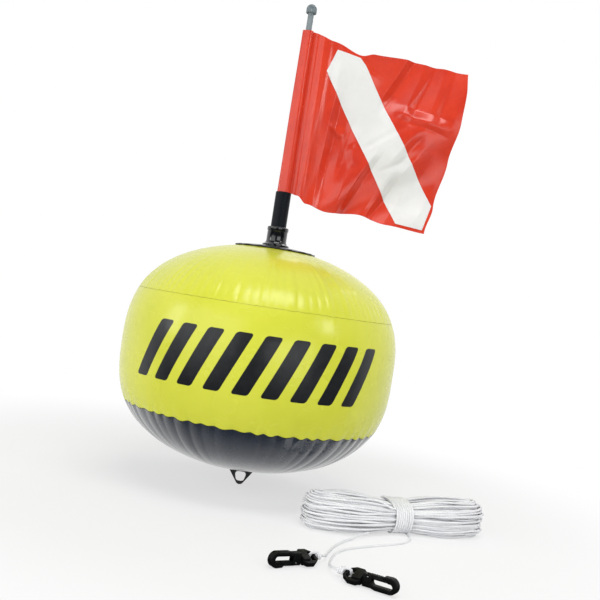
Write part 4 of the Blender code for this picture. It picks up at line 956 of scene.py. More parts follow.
def hank_winding():
    """The turns round the hank's waist, in the hank's own frame."""
    last_deg = 270 + 360 * WRAP_TURNS
    degrees = np.linspace(WRAP_START_DEG, last_deg, int((last_deg - WRAP_START_DEG) / 360 * LOOP_POINTS / 2))
    across, up = squared(np.radians(degrees), WRAP_ROUNDNESS)
    x = WRAP_START + WRAP_PITCH * (degrees - WRAP_START_DEG) / 360
    return np.column_stack([x, -WRAP_HALF_WIDTH * across, LINE_RADIUS + WRAP_HALF_HEIGHT * (1 + up)])


def crossing(start, leave, arrive, end, steps):
    """Points between two ends, leaving one and reaching the other along the given directions."""
    pull = np.linalg.norm(end - start) / 2.6
    share = np.linspace(0, 1, steps + 1)[1:-1, None]
    rest = 1 - share
    return (
        start * rest**3
        + (start + leave * pull) * (3 * rest**2 * share)
        + (end - arrive * pull) * (3 * rest * share**2)
        + end * share**3
    )


def unit(vector):
    return vector / np.linalg.norm(vector)


def smooth_route(route):
    """Reads a smooth curve through the route's points, finely."""
    route = np.array(route, float)
    padded = np.vstack([2 * route[0] - route[1], route, 2 * route[-1] - route[-2]])
    share = np.linspace(0, 1, 24, endpoint=False)[:, None]
    pieces = []
    for before, start, end, after in zip(padded, padded[1:], padded[2:], padded[3:]):
        pieces.append(
            0.5
            * (
                2 * start
                + (end - before) * share
                + (2 * before - 5 * start + 4 * end - after) * share**2
                + (3 * start - before - 3 * end + after) * share**3
            )
        )
    return np.vstack([*pieces, route[-1:]])


def even_steps(points, step):
    """The same line with its points a step apart."""
    lengths = np.concatenate([[0], np.cumsum(np.linalg.norm(np.diff(points, axis=0), axis=1))])
    places = np.linspace(0, lengths[-1], max(2, round(lengths[-1] / step)) + 1)
    return np.column_stack([np.interp(places, lengths, points[:, axis]) for axis in range(3)])


def wander(points, seed):
    """Slow sideways drift, as in line that was laid by hand. It fades towards the waist."""
    dice = np.random.default_rng(seed)
    length = len(points) * LINE_STEP
    knots = int(length / WANDER_LENGTH)
    places = np.linspace(0, knots - 1, len(points))
    drifts = [np.interp(places, range(knots), dice.normal(0, WANDER, knots)) for _ in range(3)]
    drift = np.column_stack(drifts)
    spread = 1 - CALM_WAIST_SHARE * np.exp(-((points[:, :1] / WAIST_REACH) ** 2))
    return points + drift * spread * np.array(WANDER_SHARES)


def packed(points, free):
    """Presses the stretches of line that lie too close apart, until they lie beside each other."""
    rest = points.copy()
    offset = np.zeros_like(points)
    thickness = 2 * LINE_RADIUS * PACKING_SLACK_SHARE
    reach = thickness + LINE_STEP
    for turn in range(PACKING_ROUNDS):
        line = rest + offset
        if turn % PAIRING_ROUNDS == 0:
            pairs = close_pairs(line, reach)
        first, second = pairs
        start, along = line[second], line[second + 1] - line[second]
        share = np.clip(
            np.einsum("ij,ij->i", line[first] - start, along) / np.einsum("ij,ij->i", along, along), 0, 1
        )[:, None]
        apart = line[first] - (start + along * share)
        distance = np.linalg.norm(apart, axis=1)[:, None]
        push = apart / np.maximum(distance, 1e-6) * np.maximum(0, thickness - distance) * PACKING_PUSH_SHARE
        shift = np.zeros_like(points)
        weight = np.full((len(points), 1), 1e-6)
        for target, amount, strength in (
            (first, push, 1),
            (second, -push * (1 - share), 1 - share),
            (second + 1, -push * share, share),
        ):
            np.add.at(shift, target, amount)
            pushed = (distance < thickness) * strength
            np.add.at(weight, target, pushed)
        offset += shift / np.sqrt(np.maximum(1, weight)) * free
        calm = offset.copy()
        calm[1:-1] = 0.5 * offset[1:-1] + 0.25 * (offset[:-2] + offset[2:])
        offset = calm * free
        low = rest[:, 2] + offset[:, 2] < LINE_RADIUS
        offset[low, 2] = LINE_RADIUS - rest[low, 2]
        high = rest[:, 2] + offset[:, 2] > HANK_HEIGHT + LINE_RADIUS
        offset[high, 2] = HANK_HEIGHT + LINE_RADIUS - rest[high, 2]
    return rest + offset


def close_pairs(line, reach):
    """Each point of the line with each stretch of it that lies near, but not next to it."""
    middles = (line[:-1] + line[1:]) / 2
    firsts, seconds = [], []
    for begin in range(0, len(line), PAIRING_BLOCK):
        block = line[begin:begin + PAIRING_BLOCK]
        near = np.linalg.norm(block[:, None, :] - middles[None, :, :], axis=2) < reach
        first, second = np.nonzero(near)
        first = first + begin
        steps = np.minimum(np.abs(first - second), np.abs(first - second - 1))
        keep = steps > SKIPPED_NEIGHBOURS
        firsts.append(first[keep])
        seconds.append(second[keep])
    return np.concatenate(firsts), np.concatenate(seconds)


def hank_matrix():
    place = Matrix.Translation((*HANK_SPOT, SURFACE_Z))
    return place @ Matrix.Rotation(math.radians(HANK_YAW_DEG), 4, "Z")


def hook_matrix(hook):
    """A hook's frame: X from the eye's outer bar along the hook."""
    place = Matrix.Translation((*hook["spot"], SURFACE_Z + EYE_LIFT))
    turn = Matrix.Rotation(math.radians(hook["yaw"]), 4, "Z")
    return place @ turn @ Matrix.Rotation(-math.radians(HOOK_PITCH_DEG), 4, "Y")


def eye_matrix(hook):
    return hook_matrix(hook) @ Matrix.Rotation(math.radians(hook["eye_roll"]), 4, "X")


def knot_exit(hook):
    """Where the free line meets a knot, and the point just before it."""
    seat = eye_matrix(hook)
    out = 2 * KNOT_RADIUS * KNOT_STRETCH + 2 * TOUCH_GAP
    across = hook["side"] * KNOT_OFFSET
    return seat @ Vector((-out, across, 0)), seat @ Vector((-out - 2 * LINE_RADIUS, across, 0))


def line_route():
    """The whole line from one knot to the other: free end, loops, winding, free end."""
    loops = hank_loops()
    winding = hank_winding()
    between = crossing(
        loops[-1], unit(loops[-1] - loops[-2]), unit(winding[1] - winding[0]), winding[0], LOOP_POINTS // 4
    )
    hank = even_steps(np.vstack([loops, between, winding]), LINE_STEP)
    wrap_points = round(np.sum(np.linalg.norm(np.diff(winding, axis=0), axis=1)) / LINE_STEP)
    held = np.minimum(np.arange(len(hank)), np.arange(len(hank))[::-1])
    free = np.clip((held - HELD_POINTS) / FREED_POINTS, 0, 1)[:, None]
    loose = hank.copy()
    loose[:-wrap_points] = wander(hank, WANDER_SEED)[:-wrap_points]
    hank = packed(hank + (loose - hank) * free, free)
    place = np.array(hank_matrix())
    hank = hank @ place[:3, :3].T + place[:3, 3]

    ends = []
    for stations, first, second, name in (
        (TAIL_A_ROUTE, hank[0], hank[1], "hook_a"),
        (TAIL_B_ROUTE, hank[-1], hank[-2], "hook_b"),
    ):
        outward = unit(first - second)
        at_knot, before_knot = knot_exit(HOOKS[name])
        middle = [(x, y, SURFACE_Z + height) for x, y, height in stations]
        route = [first, first + outward * (3 * LINE_RADIUS), *middle, before_knot, at_knot]
        ends.append(even_steps(smooth_route(route), LINE_STEP))
    return np.vstack([ends[0][:0:-1], hank, ends[1][1:]])


def cord_curve(name, points, sides_step, seed):
    """A round braided cord along its centre line, a little uneven in thickness."""
    dice = np.random.default_rng(seed)
    curve = bpy.data.curves.new(name, "CURVE")
    curve.dimensions = "3D"
    curve.bevel_depth = LINE_RADIUS
    curve.bevel_resolution = sides_step
    curve.use_fill_caps = True
    spline = curve.splines.new("POLY")
    spline.points.add(len(points) - 1)
    places = np.column_stack([points, np.ones(len(points))])
    spline.points.foreach_set("co", places.astype(np.float32).ravel())
    radii = 1 + dice.uniform(-LINE_UNEVEN_SHARE, LINE_UNEVEN_SHARE, len(points))
    spline.points.foreach_set("radius", radii.astype(np.float32))
    return linked(name, curve)


def make_line(finishes):
    points = line_route()
    line = cord_curve("line", points, 3, LINE_SEED)
    dress(line, finishes, "white_line", "root", "line_hank", "line_tail_a", "line_tail_b")
    return line, points


def scale_plaits(mesh, share):
    """Shortens the lengthwise UV to the share that this piece has of the whole line."""
    places = mesh.uv_layers.active.uv
    values = np.zeros(2 * len(places), np.float32)
    places.foreach_get("vector", values)
    values[::2] *= share
    places.foreach_set("vector", values)


def make_knot(prefix, hook, finishes):
    """The line goes round the eye's bar and winds back on itself."""
    across = hook["side"] * KNOT_OFFSET
    half_bar = (EYE_BAR / 2, EYE_THICKNESS / 2)
    reach = LINE_RADIUS + TOUCH_GAP
    out = 2 * KNOT_RADIUS * KNOT_STRETCH
    route = [(-out * share, across, lift) for share, lift in KNOT_LEAD_SHARES]
    for turn_deg in range(KNOT_RING_DEG, -KNOT_RING_DEG - 1, -KNOT_RING_STEP_DEG):
        ring_x, ring_z = squared(math.radians(turn_deg), RING_ROUNDNESS)
        lean = hook["side"] * KNOT_LEAN * (KNOT_RING_DEG - turn_deg) / (2 * KNOT_RING_DEG)
        round_x = half_bar[0] + ring_x * (half_bar[0] + reach)
        route.append((round_x, across + lean, ring_z * (half_bar[1] + reach)))
    for step in range(KNOT_WRAP_STEPS + 1):
        share = step / KNOT_WRAP_STEPS
        turn = -math.pi / 2 - math.tau * KNOT_WRAPS * share
        x = -out * mix(*KNOT_WRAP_SHARES, share)
        route.append((x, across + KNOT_WRAP * math.cos(turn), KNOT_WRAP * math.sin(turn)))
    last = Vector(route[-1])
    route += [tuple(last + Vector(step)) for step in KNOT_TAIL]
    points = even_steps(smooth_route(route), KNOT_STEP)
    curve = cord_curve(prefix.replace("hook", "knot") + "_tied", points, 4, KNOT_SEED)
    knot = linked(curve.name + "_line", bpy.data.meshes.new_from_object(curve))
    bpy.data.objects.remove(curve, do_unlink=True)
    scale_plaits(knot.data, len(points) * KNOT_STEP / LINE_LENGTH)
    seat = eye_matrix(hook)
    knot.data.transform(seat)
    knot.data.shade_smooth()
    return dress(knot, finishes, "white_line", "root", prefix.replace("hook", "knot"))


def shell_radius(height):
    """The float's outer radius at a height."""
    rise = height - EQUATOR_Z
    reach, fullness = (CROWN_RISE, CROWN_FULLNESS) if rise > 0 else (BELLY_DROP, BELLY_FULLNESS)
    return FLOAT_RADIUS * math.sqrt(max(0, 1 - (abs(rise) / reach) ** fullness))


def crown_height(radius):
    return EQUATOR_Z + CROWN_RISE * (1 - (radius / FLOAT_RADIUS) ** 2) ** (1 / CROWN_FULLNESS)


def belly_height(radius):
    return EQUATOR_Z - BELLY_DROP * (1 - (radius / FLOAT_RADIUS) ** 2) ** (1 / BELLY_FULLNESS)


def shell_slope(radius, height):
    """The outward direction of the film, as (radius, height), for many points at once."""
    rise = height - EQUATOR_Z
    reach = np.where(rise > 0, CROWN_RISE, BELLY_DROP)
    fullness = np.where(rise > 0, CROWN_FULLNESS, BELLY_FULLNESS)
    outward = 2 * radius / FLOAT_RADIUS**2
    upward = np.copysign(fullness * (np.abs(rise) / reach) ** (fullness - 1) / reach, rise)
    length = np.hypot(outward, upward)
    return outward / length, upward / length


def inner_point(radius, height):
    outward, upward = shell_slope(np.array(radius), np.array(height))
    return float(radius - FILM * outward), float(height - FILM * upward)


def seam_corner(seam, away, ease):
    """The rounded edge of a panel at a seam, from its face to the underside of its lip."""
    face = (shell_radius(seam + away * ease), seam + away * ease)
    corner = Vector((shell_radius(seam), seam))
    start, end = Vector(face), corner - Vector((ease, 0))
    shares = (0, 0.25, 0.5, 0.75, 1)
    bend = [start.lerp(corner, share).lerp(corner.lerp(end, share), share) for share in shares]
    lip_radius = corner.x - SEAM_LIP
    return [tuple(point) for point in bend] + [(lip_radius, seam), (lip_radius, seam + away * FILM)]


def puckers(azimuth, away, count, grow, reaches, seed):
    """How far the pillows of film between the pinches of a seam stand out, at a distance from it."""
    dice = np.random.default_rng(seed)
    drift = np.zeros_like(azimuth)
    for ripples in PUCKER_RIPPLES:
        drift += dice.uniform(0.2, 0.6) * np.sin(ripples * azimuth + dice.uniform(0, math.tau))
    phase = count * azimuth / 2 + drift
    pillow = np.floor(phase / math.pi).astype(int) % count
    strength = dice.uniform(*PUCKER_STRENGTH_SHARES, count)[pillow]
    reach = dice.uniform(*reaches, count)[pillow]
    swell = np.abs(np.sin(phase)) ** PILLOW_FULLNESS
    mean = PUCKER_MEAN_SHARE * np.exp(-away / np.mean(reaches))
    stand = (strength * swell * np.exp(-((away / reach) ** PUCKER_FADE)) - mean) * (1 + away / grow)
    return stand, strength * np.sin(phase) ** 2


def shaped_panel(piece, fields):
    """Draws a panel's film in and out by its seams' puckers and a slow unevenness."""
    places = vertex_places(piece.data)
    radius = np.hypot(places[:, 0], places[:, 1])
    height = places[:, 2]
    azimuth = np.arctan2(places[:, 0], -places[:, 1])
    outward, upward = shell_slope(radius, height)
    depth = np.zeros(len(places))
    drop = np.zeros(len(places))
    for seam, count, size, grow, reaches, scallop, seed in fields:
        away = np.hypot(radius - shell_radius(seam), height - seam)
        stand, pinch = puckers(azimuth, away, count, grow, reaches, seed)
        depth += size * stand
        drop += scallop * (pinch - 0.5) * np.exp(-((away / SCALLOP_REACH) ** 1.5))
    by_disc = np.clip((radius - DISC_RADIUS) / DISC_CALM_REACH, 0, 1)
    by_valve = np.hypot(places[:, 0], places[:, 1] - VALVE_OUT) - VALVE_FLANGE_RADIUS
    calm = np.where(height > EQUATOR_Z, by_disc, 1)
    calm = calm * np.where(height > UPPER_SEAM_Z, np.clip(by_valve / VALVE_CALM_REACH, 0, 1), 1)
    for lobes, climb, phase, wave in BODY_WAVES:
        depth += wave * np.sin(lobes * azimuth + climb * height + phase)
    depth = depth * calm
    radius = radius + outward * depth
    height = height + upward * depth - drop
    moved = np.column_stack([np.sin(azimuth) * radius, -np.cos(azimuth) * radius, height])
    move_vertices(piece.data, moved)
    return piece


def inner_rows(outer, first, last):
    """The film's inner face under some rows of its outer face."""
    return [inner_point(*outer[round(row)]) for row in np.linspace(first, last, INNER_ROWS)]


def make_top_panel(finishes):
    """The yellow upper disc, from the socket's hole to the upper seam, with its hole for the valve."""
    hole = SPIGOT_RADIUS + TOUCH_GAP
    seam = UPPER_SEAM_Z + TOUCH_GAP / 2
    face_radius = shell_radius(seam + UPPER_SEAM_ROUND)
    shares = [math.sin(math.pi / 2 * row / PANEL_ROWS) for row in range(PANEL_ROWS)]
    radii = [hole + (face_radius - hole) * share for share in shares]
    outer = [(radius, crown_height(radius)) for radius in radii]
    inner = inner_rows(outer, PANEL_ROWS - 4, 1)
    outline = [*outer, *seam_corner(seam, 1, UPPER_SEAM_ROUND), *inner, (hole, outer[0][1] - FILM)]
    panel = shaped_panel(turned("top_panel_film", outline, PANEL_SIDES), [UPPER_LONG])
    low, high = (0, 0, -VALVE_DROP - CUT_OVERRUN), (0, 0, CUT_OVERRUN)
    hole_radius = VALVE_STEM_RADIUS + TOUCH_GAP
    joined(panel, "DIFFERENCE", rod_mesh("valve_hole", hole_radius, low, high, 48, valve_matrix()))
    dress(panel, finishes, "yellow_film", "root", "top_panel")


def make_side_band(finishes):
    """The yellow band between the two seams."""
    head, foot = UPPER_SEAM_Z - TOUCH_GAP / 2, LOWER_SEAM_Z + TOUCH_GAP / 2
    high_face, low_face = head - UPPER_SEAM_ROUND, foot + LOWER_SEAM_ROUND
    turns = [math.pi * row / PANEL_ROWS for row in range(1, PANEL_ROWS)]
    middle, half = (high_face + low_face) / 2, (high_face - low_face) / 2
    heights = [middle + half * math.cos(turn) for turn in turns]
    outer = [(shell_radius(height), height) for height in heights]
    inner = inner_rows(outer, PANEL_ROWS - 8, 6)
    foot_edge = seam_corner(foot, 1, LOWER_SEAM_ROUND)
    head_edge = seam_corner(head, -1, UPPER_SEAM_ROUND)
    outline = [*outer, *foot_edge, *inner, *reversed(head_edge)]
    band = shaped_panel(turned("side_band_film", outline, PANEL_SIDES), [UPPER_SHORT, LOWER_SHORT])
    dress(band, finishes, "yellow_film", "root", "side_band")


def make_bottom_panel(finishes):
    """The dark lower disc."""
    seam = LOWER_SEAM_Z - TOUCH_GAP / 2
    face_radius = shell_radius(seam - LOWER_SEAM_ROUND)
    radii = [face_radius * math.sin(math.pi / 2 * row / PANEL_ROWS) for row in range(PANEL_ROWS)]
    outer = [(radius, belly_height(radius)) for radius in radii]
    inner = inner_rows(outer, PANEL_ROWS - 4, 3)
    outline = [*outer, *seam_corner(seam, -1, LOWER_SEAM_ROUND), *inner, (0, BELLY_Z + FILM)]
    panel = shaped_panel(turned("bottom_panel_film", outline, PANEL_SIDES), [LOWER_LONG])
    dress(panel, finishes, "slate_film", "root", "bottom_panel")


def make_top_disc(finishes):
    """The black disc: a welded film whose rim lifts a little between its welds."""
    hole = SPIGOT_RADIUS + TOUCH_GAP
    radii = [mix(hole, DISC_RADIUS, row / DISC_ROWS) for row in range(DISC_ROWS + 1)]
    under = [(radius, crown_height(radius) + TOUCH_GAP) for radius in radii]
    over = [(radius, height + DISC_FILM) for radius, height in under]
    rim_radius, rim_height = under[-1]
    rim = [(rim_radius + DISC_RIM_BOW, rim_height + DISC_FILM * share) for share in (0.25, 0.5, 0.75)]
    outline = [*under, *rim, *reversed(over)]
    disc = turned("top_disc_film", outline, DISC_SIDES)
    places = vertex_places(disc.data)
    radius = np.hypot(places[:, 0], places[:, 1])
    azimuth = np.arctan2(places[:, 0], -places[:, 1])
    from_calm = radius / DISC_RADIUS - DISC_CALM_SHARE
    toward_rim = np.clip(from_calm / (1 - DISC_CALM_SHARE), 0, 1) ** 2
    lift = np.abs(np.sin(11 * azimuth + 0.8 * np.sin(5 * azimuth))) ** 1.5 * 0.6
    lift += 0.4 * (0.5 + 0.5 * np.sin(17 * azimuth + 1.7))
    places[:, 2] += DISC_WAVE * lift * toward_rim
    spread = 1 + DISC_SPREAD_SHARE * np.sin(9 * azimuth + np.sin(4 * azimuth)) * toward_rim
    places[:, 0] *= spread
    places[:, 1] *= spread
    move_vertices(disc.data, places)
    dress(disc, finishes, "black_film", "root", "top_disc")


def make_socket(finishes):
    """The mast socket: flared foot, smooth collar and a rolled lip."""
    foot = DISC_TOP_Z + TOUCH_GAP
    flare_top = foot + FLARE_HEIGHT
    steps = 14
    flare = [
        (
            SOCKET_RADIUS + (FLARE_RADIUS - SOCKET_RADIUS) * (1 - math.sin(math.pi / 2 * step / steps)),
            foot + FLARE_EDGE + (flare_top - foot - FLARE_EDGE) * (1 - math.cos(math.pi / 2 * step / steps)),
        )
        for step in range(steps + 1)
    ]
    foot_edge = arc((FLARE_RADIUS - FLARE_EDGE / 3, foot + FLARE_EDGE / 3), FLARE_EDGE / 3, -90, 0, 4)
    bead_foot = SOCKET_LIP_Z - LIP_BEAD_HEIGHT
    bead = [
        (SOCKET_RADIUS, bead_foot - LIP_BEAD),
        *[
            (SOCKET_RADIUS + LIP_BEAD * eased_step(step / 4), bead_foot - LIP_BEAD * (1 - step / 4))
            for step in range(1, 5)
        ],
    ]
    lip = arc((SOCKET_RADIUS + LIP_BEAD - LIP_ROUND, SOCKET_LIP_Z - LIP_ROUND), LIP_ROUND, 0, 90, 8)
    outline = [
        (0, SOCKET_FLOOR_Z - SOCKET_FLOOR),
        (SPIGOT_RADIUS, SOCKET_FLOOR_Z - SOCKET_FLOOR),
        (SPIGOT_RADIUS, foot),
        *foot_edge,
        *flare,
        *bead,
        *lip,
        (SOCKET_BORE + TOUCH_GAP, SOCKET_LIP_Z),
        (SOCKET_BORE, SOCKET_LIP_Z - TOUCH_GAP),
        (SOCKET_BORE, SOCKET_FLOOR_Z),
        (0, SOCKET_FLOOR_Z),
    ]
    socket = turned("mast_socket_moulding", outline, ROUND_SIDES)
    dress(socket, finishes, "black_plastic", "root", "mast_socket")


def make_tube(finishes):
    """The black sleeve that plugs into the socket."""
    rows = 40
    low, high = MAST_FOOT_Z + TUBE_CHAMFER, TUBE_TOP_Z - TUBE_CHAMFER
    inset = TUBE_RADIUS - TUBE_CHAMFER
    outline = [
        (ROD_BORE, MAST_FOOT_Z),
        (inset, MAST_FOOT_Z),
        *[(TUBE_RADIUS, mix(low, high, row / rows)) for row in range(rows + 1)],
        *arc((inset, high), TUBE_CHAMFER, 15, 90, 5),
        (ROD_BORE, TUBE_TOP_Z),
    ]
    sleeve = turned("mast_tube_sleeve", outline, ROUND_SIDES)
    dress(sleeve, finishes, "black_tube", "mast", "mast_tube")


def across_cap(name, radius, half_length, edge=0.0):
    """A round bar that crosses the mast where the cap's pin sits."""
    height = CAP_TOP_Z - PIN_DROP
    ends = (0, -half_length, height), (0, half_length, height)
    return rod_mesh(name, radius, *ends, ROD_SIDES, edge=edge)


def cut_pin_hole(piece):
    hole = across_cap(piece.name + "_hole", PIN_RADIUS + TOUCH_GAP, CAP_RADIUS + CUT_OVERRUN)
    return joined(piece, "DIFFERENCE", hole)


def make_rod(finishes):
    """The grey rod, a little uneven along its length."""
    top = CAP_TOP_Z - CAP_CROWN - TOUCH_GAP
    dice = np.random.default_rng(3)
    heights = [mix(MAST_FOOT_Z, top, ring / ROD_RINGS) for ring in range(ROD_RINGS + 1)]
    rings = [(ROD_RADIUS - ROD_UNEVEN * dice.uniform(0, 1), height) for height in heights]
    outline = [(0, MAST_FOOT_Z), *rings, (0, top)]
    rod = cut_pin_hole(turned("mast_rod_fibre", outline, ROD_SIDES, sharp_deg=60))
    dress(rod, finishes, "grey_rod", "mast", "mast_rod")


def make_cap(finishes):
    """The mushroom cap, hollow underneath."""
    outline = [
        (0, CAP_TOP_Z),
        *reversed(arc((0, CAP_TOP_Z - CAP_RADIUS), CAP_RADIUS, 0, 86, 16)),
        *arc((CAP_RADIUS - CAP_EDGE, CAP_FOOT_Z + CAP_EDGE), CAP_EDGE, 0, -90, 5),
        (CAP_RADIUS - CAP_SKIRT, CAP_FOOT_Z),
        (CAP_RADIUS - CAP_SKIRT, CAP_FOOT_Z + CAP_HOLLOW),
        (ROD_BORE, CAP_FOOT_Z + CAP_HOLLOW),
        (ROD_BORE, CAP_TOP_Z - CAP_CROWN),
        (0, CAP_TOP_Z - CAP_CROWN),
    ]
    cap = cut_pin_hole(turned("mast_cap_moulding", outline, 64))
    dress(cap, finishes, "grey_plastic", "mast", "mast_cap")


def make_cap_pin(finishes):
    pin = across_cap("cap_pin_turned", PIN_RADIUS, CAP_RADIUS - PIN_INSET, PIN_EDGE)
    dress(pin, finishes, "grey_plastic", "mast", "cap_pin")


def read_table(table, shares):
    """Values between the rows of a table, eased from one to the next."""
    shares = np.asarray(shares, float)
    values = np.full_like(shares, table[-1][1])
    for (low, low_value), (high, high_value) in reversed(list(zip(table, table[1:]))):
        part = eased_step((shares - low) / (high - low))
        values = np.where(shares <= high, low_value + (high_value - low_value) * part, values)
    return values


def pocket_radius(rise):
    return mix(POCKET_FOOT_RADIUS, POCKET_HEAD_RADIUS, rise)


def crease_depth(run, rise):
    """Sharp folds: two flat facets that meet along each crease, fading out at its ends."""
    depth = np.zeros_like(run)
    for (start_run, start_rise), (end_run, end_rise), (left, right), height in FLAG_CREASES:
        along_run, along_rise = end_run - start_run, end_rise - start_rise
        length = math.hypot(along_run, along_rise)
        along = ((run - start_run) * along_run + (rise - start_rise) * along_rise) / length**2
        aside = ((run - start_run) * along_rise - (rise - start_rise) * along_run) / length
        width = np.where(aside > 0, left, right)
        facet = np.clip(1 - np.sqrt(aside**2 + CREASE_ROUND_SHARE**2) / width, 0, None)
        ends = eased_step(along / CREASE_FADE_SHARE) * eased_step((1 - along) / CREASE_FADE_SHARE)
        depth += height * facet * ends
    return depth


def flag_depth(run, rise):
    """How far the flag folds out of its flat, at shares of its fly and hoist."""
    spread = np.arctan2(rise - FAN_ROOT_SHARES[1], run - FAN_ROOT_SHARES[0]) / (math.pi / 2)
    fan = np.sin(math.tau * FOLD_COUNT * spread) * FOLD_DEPTH * run**0.7
    beside_pocket = np.exp(-(((run - POCKET_FOLD_PLACE_SHARE) / POCKET_FOLD_REACH_SHARE) ** 2))
    rooted = np.minimum(1, run / POCKET_FOLD_PLACE_SHARE)
    folds = fan - POCKET_FOLD_DEPTH * beside_pocket + crease_depth(run, rise)
    return folds * rooted + FLY_SWING * run * run


def flag_places(run, rise):
    """Points of the flag's middle plane, at shares of its fly and hoist."""
    root = np.sqrt(pocket_radius(rise) ** 2 - (FLAG_FILM / 2) ** 2)
    fly = FLAG_FLY * read_table(FLY_EDGE_SHARES, rise)
    top_sag, foot_sag = read_table(TOP_EDGE_SHARES, run), read_table(FOOT_EDGE_SHARES, run)
    height = FLAG_FOOT_Z + FLAG_HOIST * (rise + mix(foot_sag, top_sag, rise))
    return np.stack([root + (fly - root) * run, flag_depth(run, rise), height], axis=-1)


def grid_mesh(name, columns, rows):
    """A grid of faces whose vertices carry their place in it, as shares, in X and Z."""
    bm = bmesh.new()
    bmesh.ops.create_grid(bm, x_segments=columns, y_segments=rows, size=0.5, calc_uvs=False)
    bmesh.ops.translate(bm, verts=bm.verts, vec=(0.5, 0.5, 0))
    uv_layer = bm.loops.layers.uv.new("flat")
    for face in bm.faces:
        for loop in face.loops:
            loop[uv_layer].uv = loop.vert.co.xy
    mesh = bpy.data.meshes.new(name)
    bm.to_mesh(mesh)
    bm.free()
    return mesh


def make_flag(finishes):
    """One film: hem, pocket round the rod, weld, and the folded fly."""
    around = HEM_COLUMNS + POCKET_COLUMNS
    columns = around + FLAG_COLUMNS
    mesh = grid_mesh("flag_film", columns, FLAG_ROWS)
    shares = vertex_places(mesh)
    column = np.rint(shares[:, 0] * columns)
    rise = shares[:, 1]
    radius = pocket_radius(rise)
    opening = np.arcsin(FLAG_FILM / 2 / radius)
    places = np.zeros_like(shares)

    hem = column <= HEM_COLUMNS
    hem_run = (1 - column / HEM_COLUMNS) * POCKET_HEM / FLAG_FLY
    beneath = flag_places(np.clip(hem_run, 0, 1), rise)
    beneath[:, 1] += FLAG_FILM + TOUCH_GAP
    places[hem] = beneath[hem]

    pocket = (column > HEM_COLUMNS) & (column <= around)
    turn = opening + (math.tau - 2 * opening) * (column - HEM_COLUMNS) / POCKET_COLUMNS
    half_flat = math.radians(POCKET_FLAT_HALF_DEG)
    from_flat = np.clip(np.abs(turn - math.radians(POCKET_FLAT_DEG)), 0, half_flat)
    slack = math.cos(half_flat) / np.cos(from_flat)
    slack *= 1 + POCKET_SLACK_SHARE * np.sin(3 * turn + 9 * rise) * np.sin(turn / 2)
    height = FLAG_FOOT_Z + FLAG_HOIST * rise
    ring = np.stack([radius * slack * np.cos(turn), radius * slack * np.sin(turn), height], axis=-1)
    places[pocket] = ring[pocket]

    fly = column > around
    run = np.clip((column - around) / FLAG_COLUMNS, 0, 1) ** COLUMN_SPREAD
    front = flag_places(run, rise)
    weld = np.exp(-(((run * FLAG_FLY - POCKET_HEM * WELD_PLACE_SHARE) / WELD_REACH) ** 2))
    front[:, 1] -= WELD_RIDGE * weld
    places[fly] = front[fly]
    move_vertices(mesh, places)
    mesh.shade_smooth()
    flag = thickened(linked("flag_film", mesh), FLAG_FILM)
    dress(flag, finishes, "red_film", "flag", "flag_sheet")

    stripes = [make_stripe("stripe_front_film", -1), make_stripe("stripe_back_film", 1)]
    dress(stripes[0], finishes, "white_film", "flag", "flag_stripe_front")
    dress(stripes[1], finishes, "white_film", "flag", "flag_stripe_back")


def make_stripe(name, side):
    """The white diagonal on one face: the flag's own folds, cut to the stripe and lifted off the film."""
    mesh = grid_mesh(name, STRIPE_GRID, STRIPE_GRID)
    shares = vertex_places(mesh)
    run, rise = shares[:, 0], shares[:, 1]
    places = flag_places(np.clip(run, STRIPE_ROOT_SHARE, 1), rise)
    move_vertices(mesh, places)
    bm = bmesh.new()
    bm.from_mesh(mesh)
    corners = [
        Vector((FLAG_FLY * run_share, 0, FLAG_FOOT_Z + FLAG_HOIST * rise_share))
        for run_share, rise_share in STRIPE_CORNER_SHARES
    ]
    for index, corner in enumerate(corners):
        along = corners[(index + 1) % len(corners)] - corner
        outward = Vector((-along.z, 0, along.x))
        everything = bm.verts[:] + bm.edges[:] + bm.faces[:]
        bmesh.ops.bisect_plane(bm, geom=everything, plane_co=corner, plane_no=outward, clear_outer=True)
    bm.normal_update()
    lift = FLAG_FILM / 2 + TOUCH_GAP / 2
    facing = 1 if sum(face.normal.y for face in bm.faces) * side > 0 else -1
    for vert in bm.verts:
        vert.co += vert.normal * facing * (lift + STRIPE_FILM / 2)
    bm.to_mesh(mesh)
    bm.free()
    return thickened(linked(name, mesh), STRIPE_FILM)


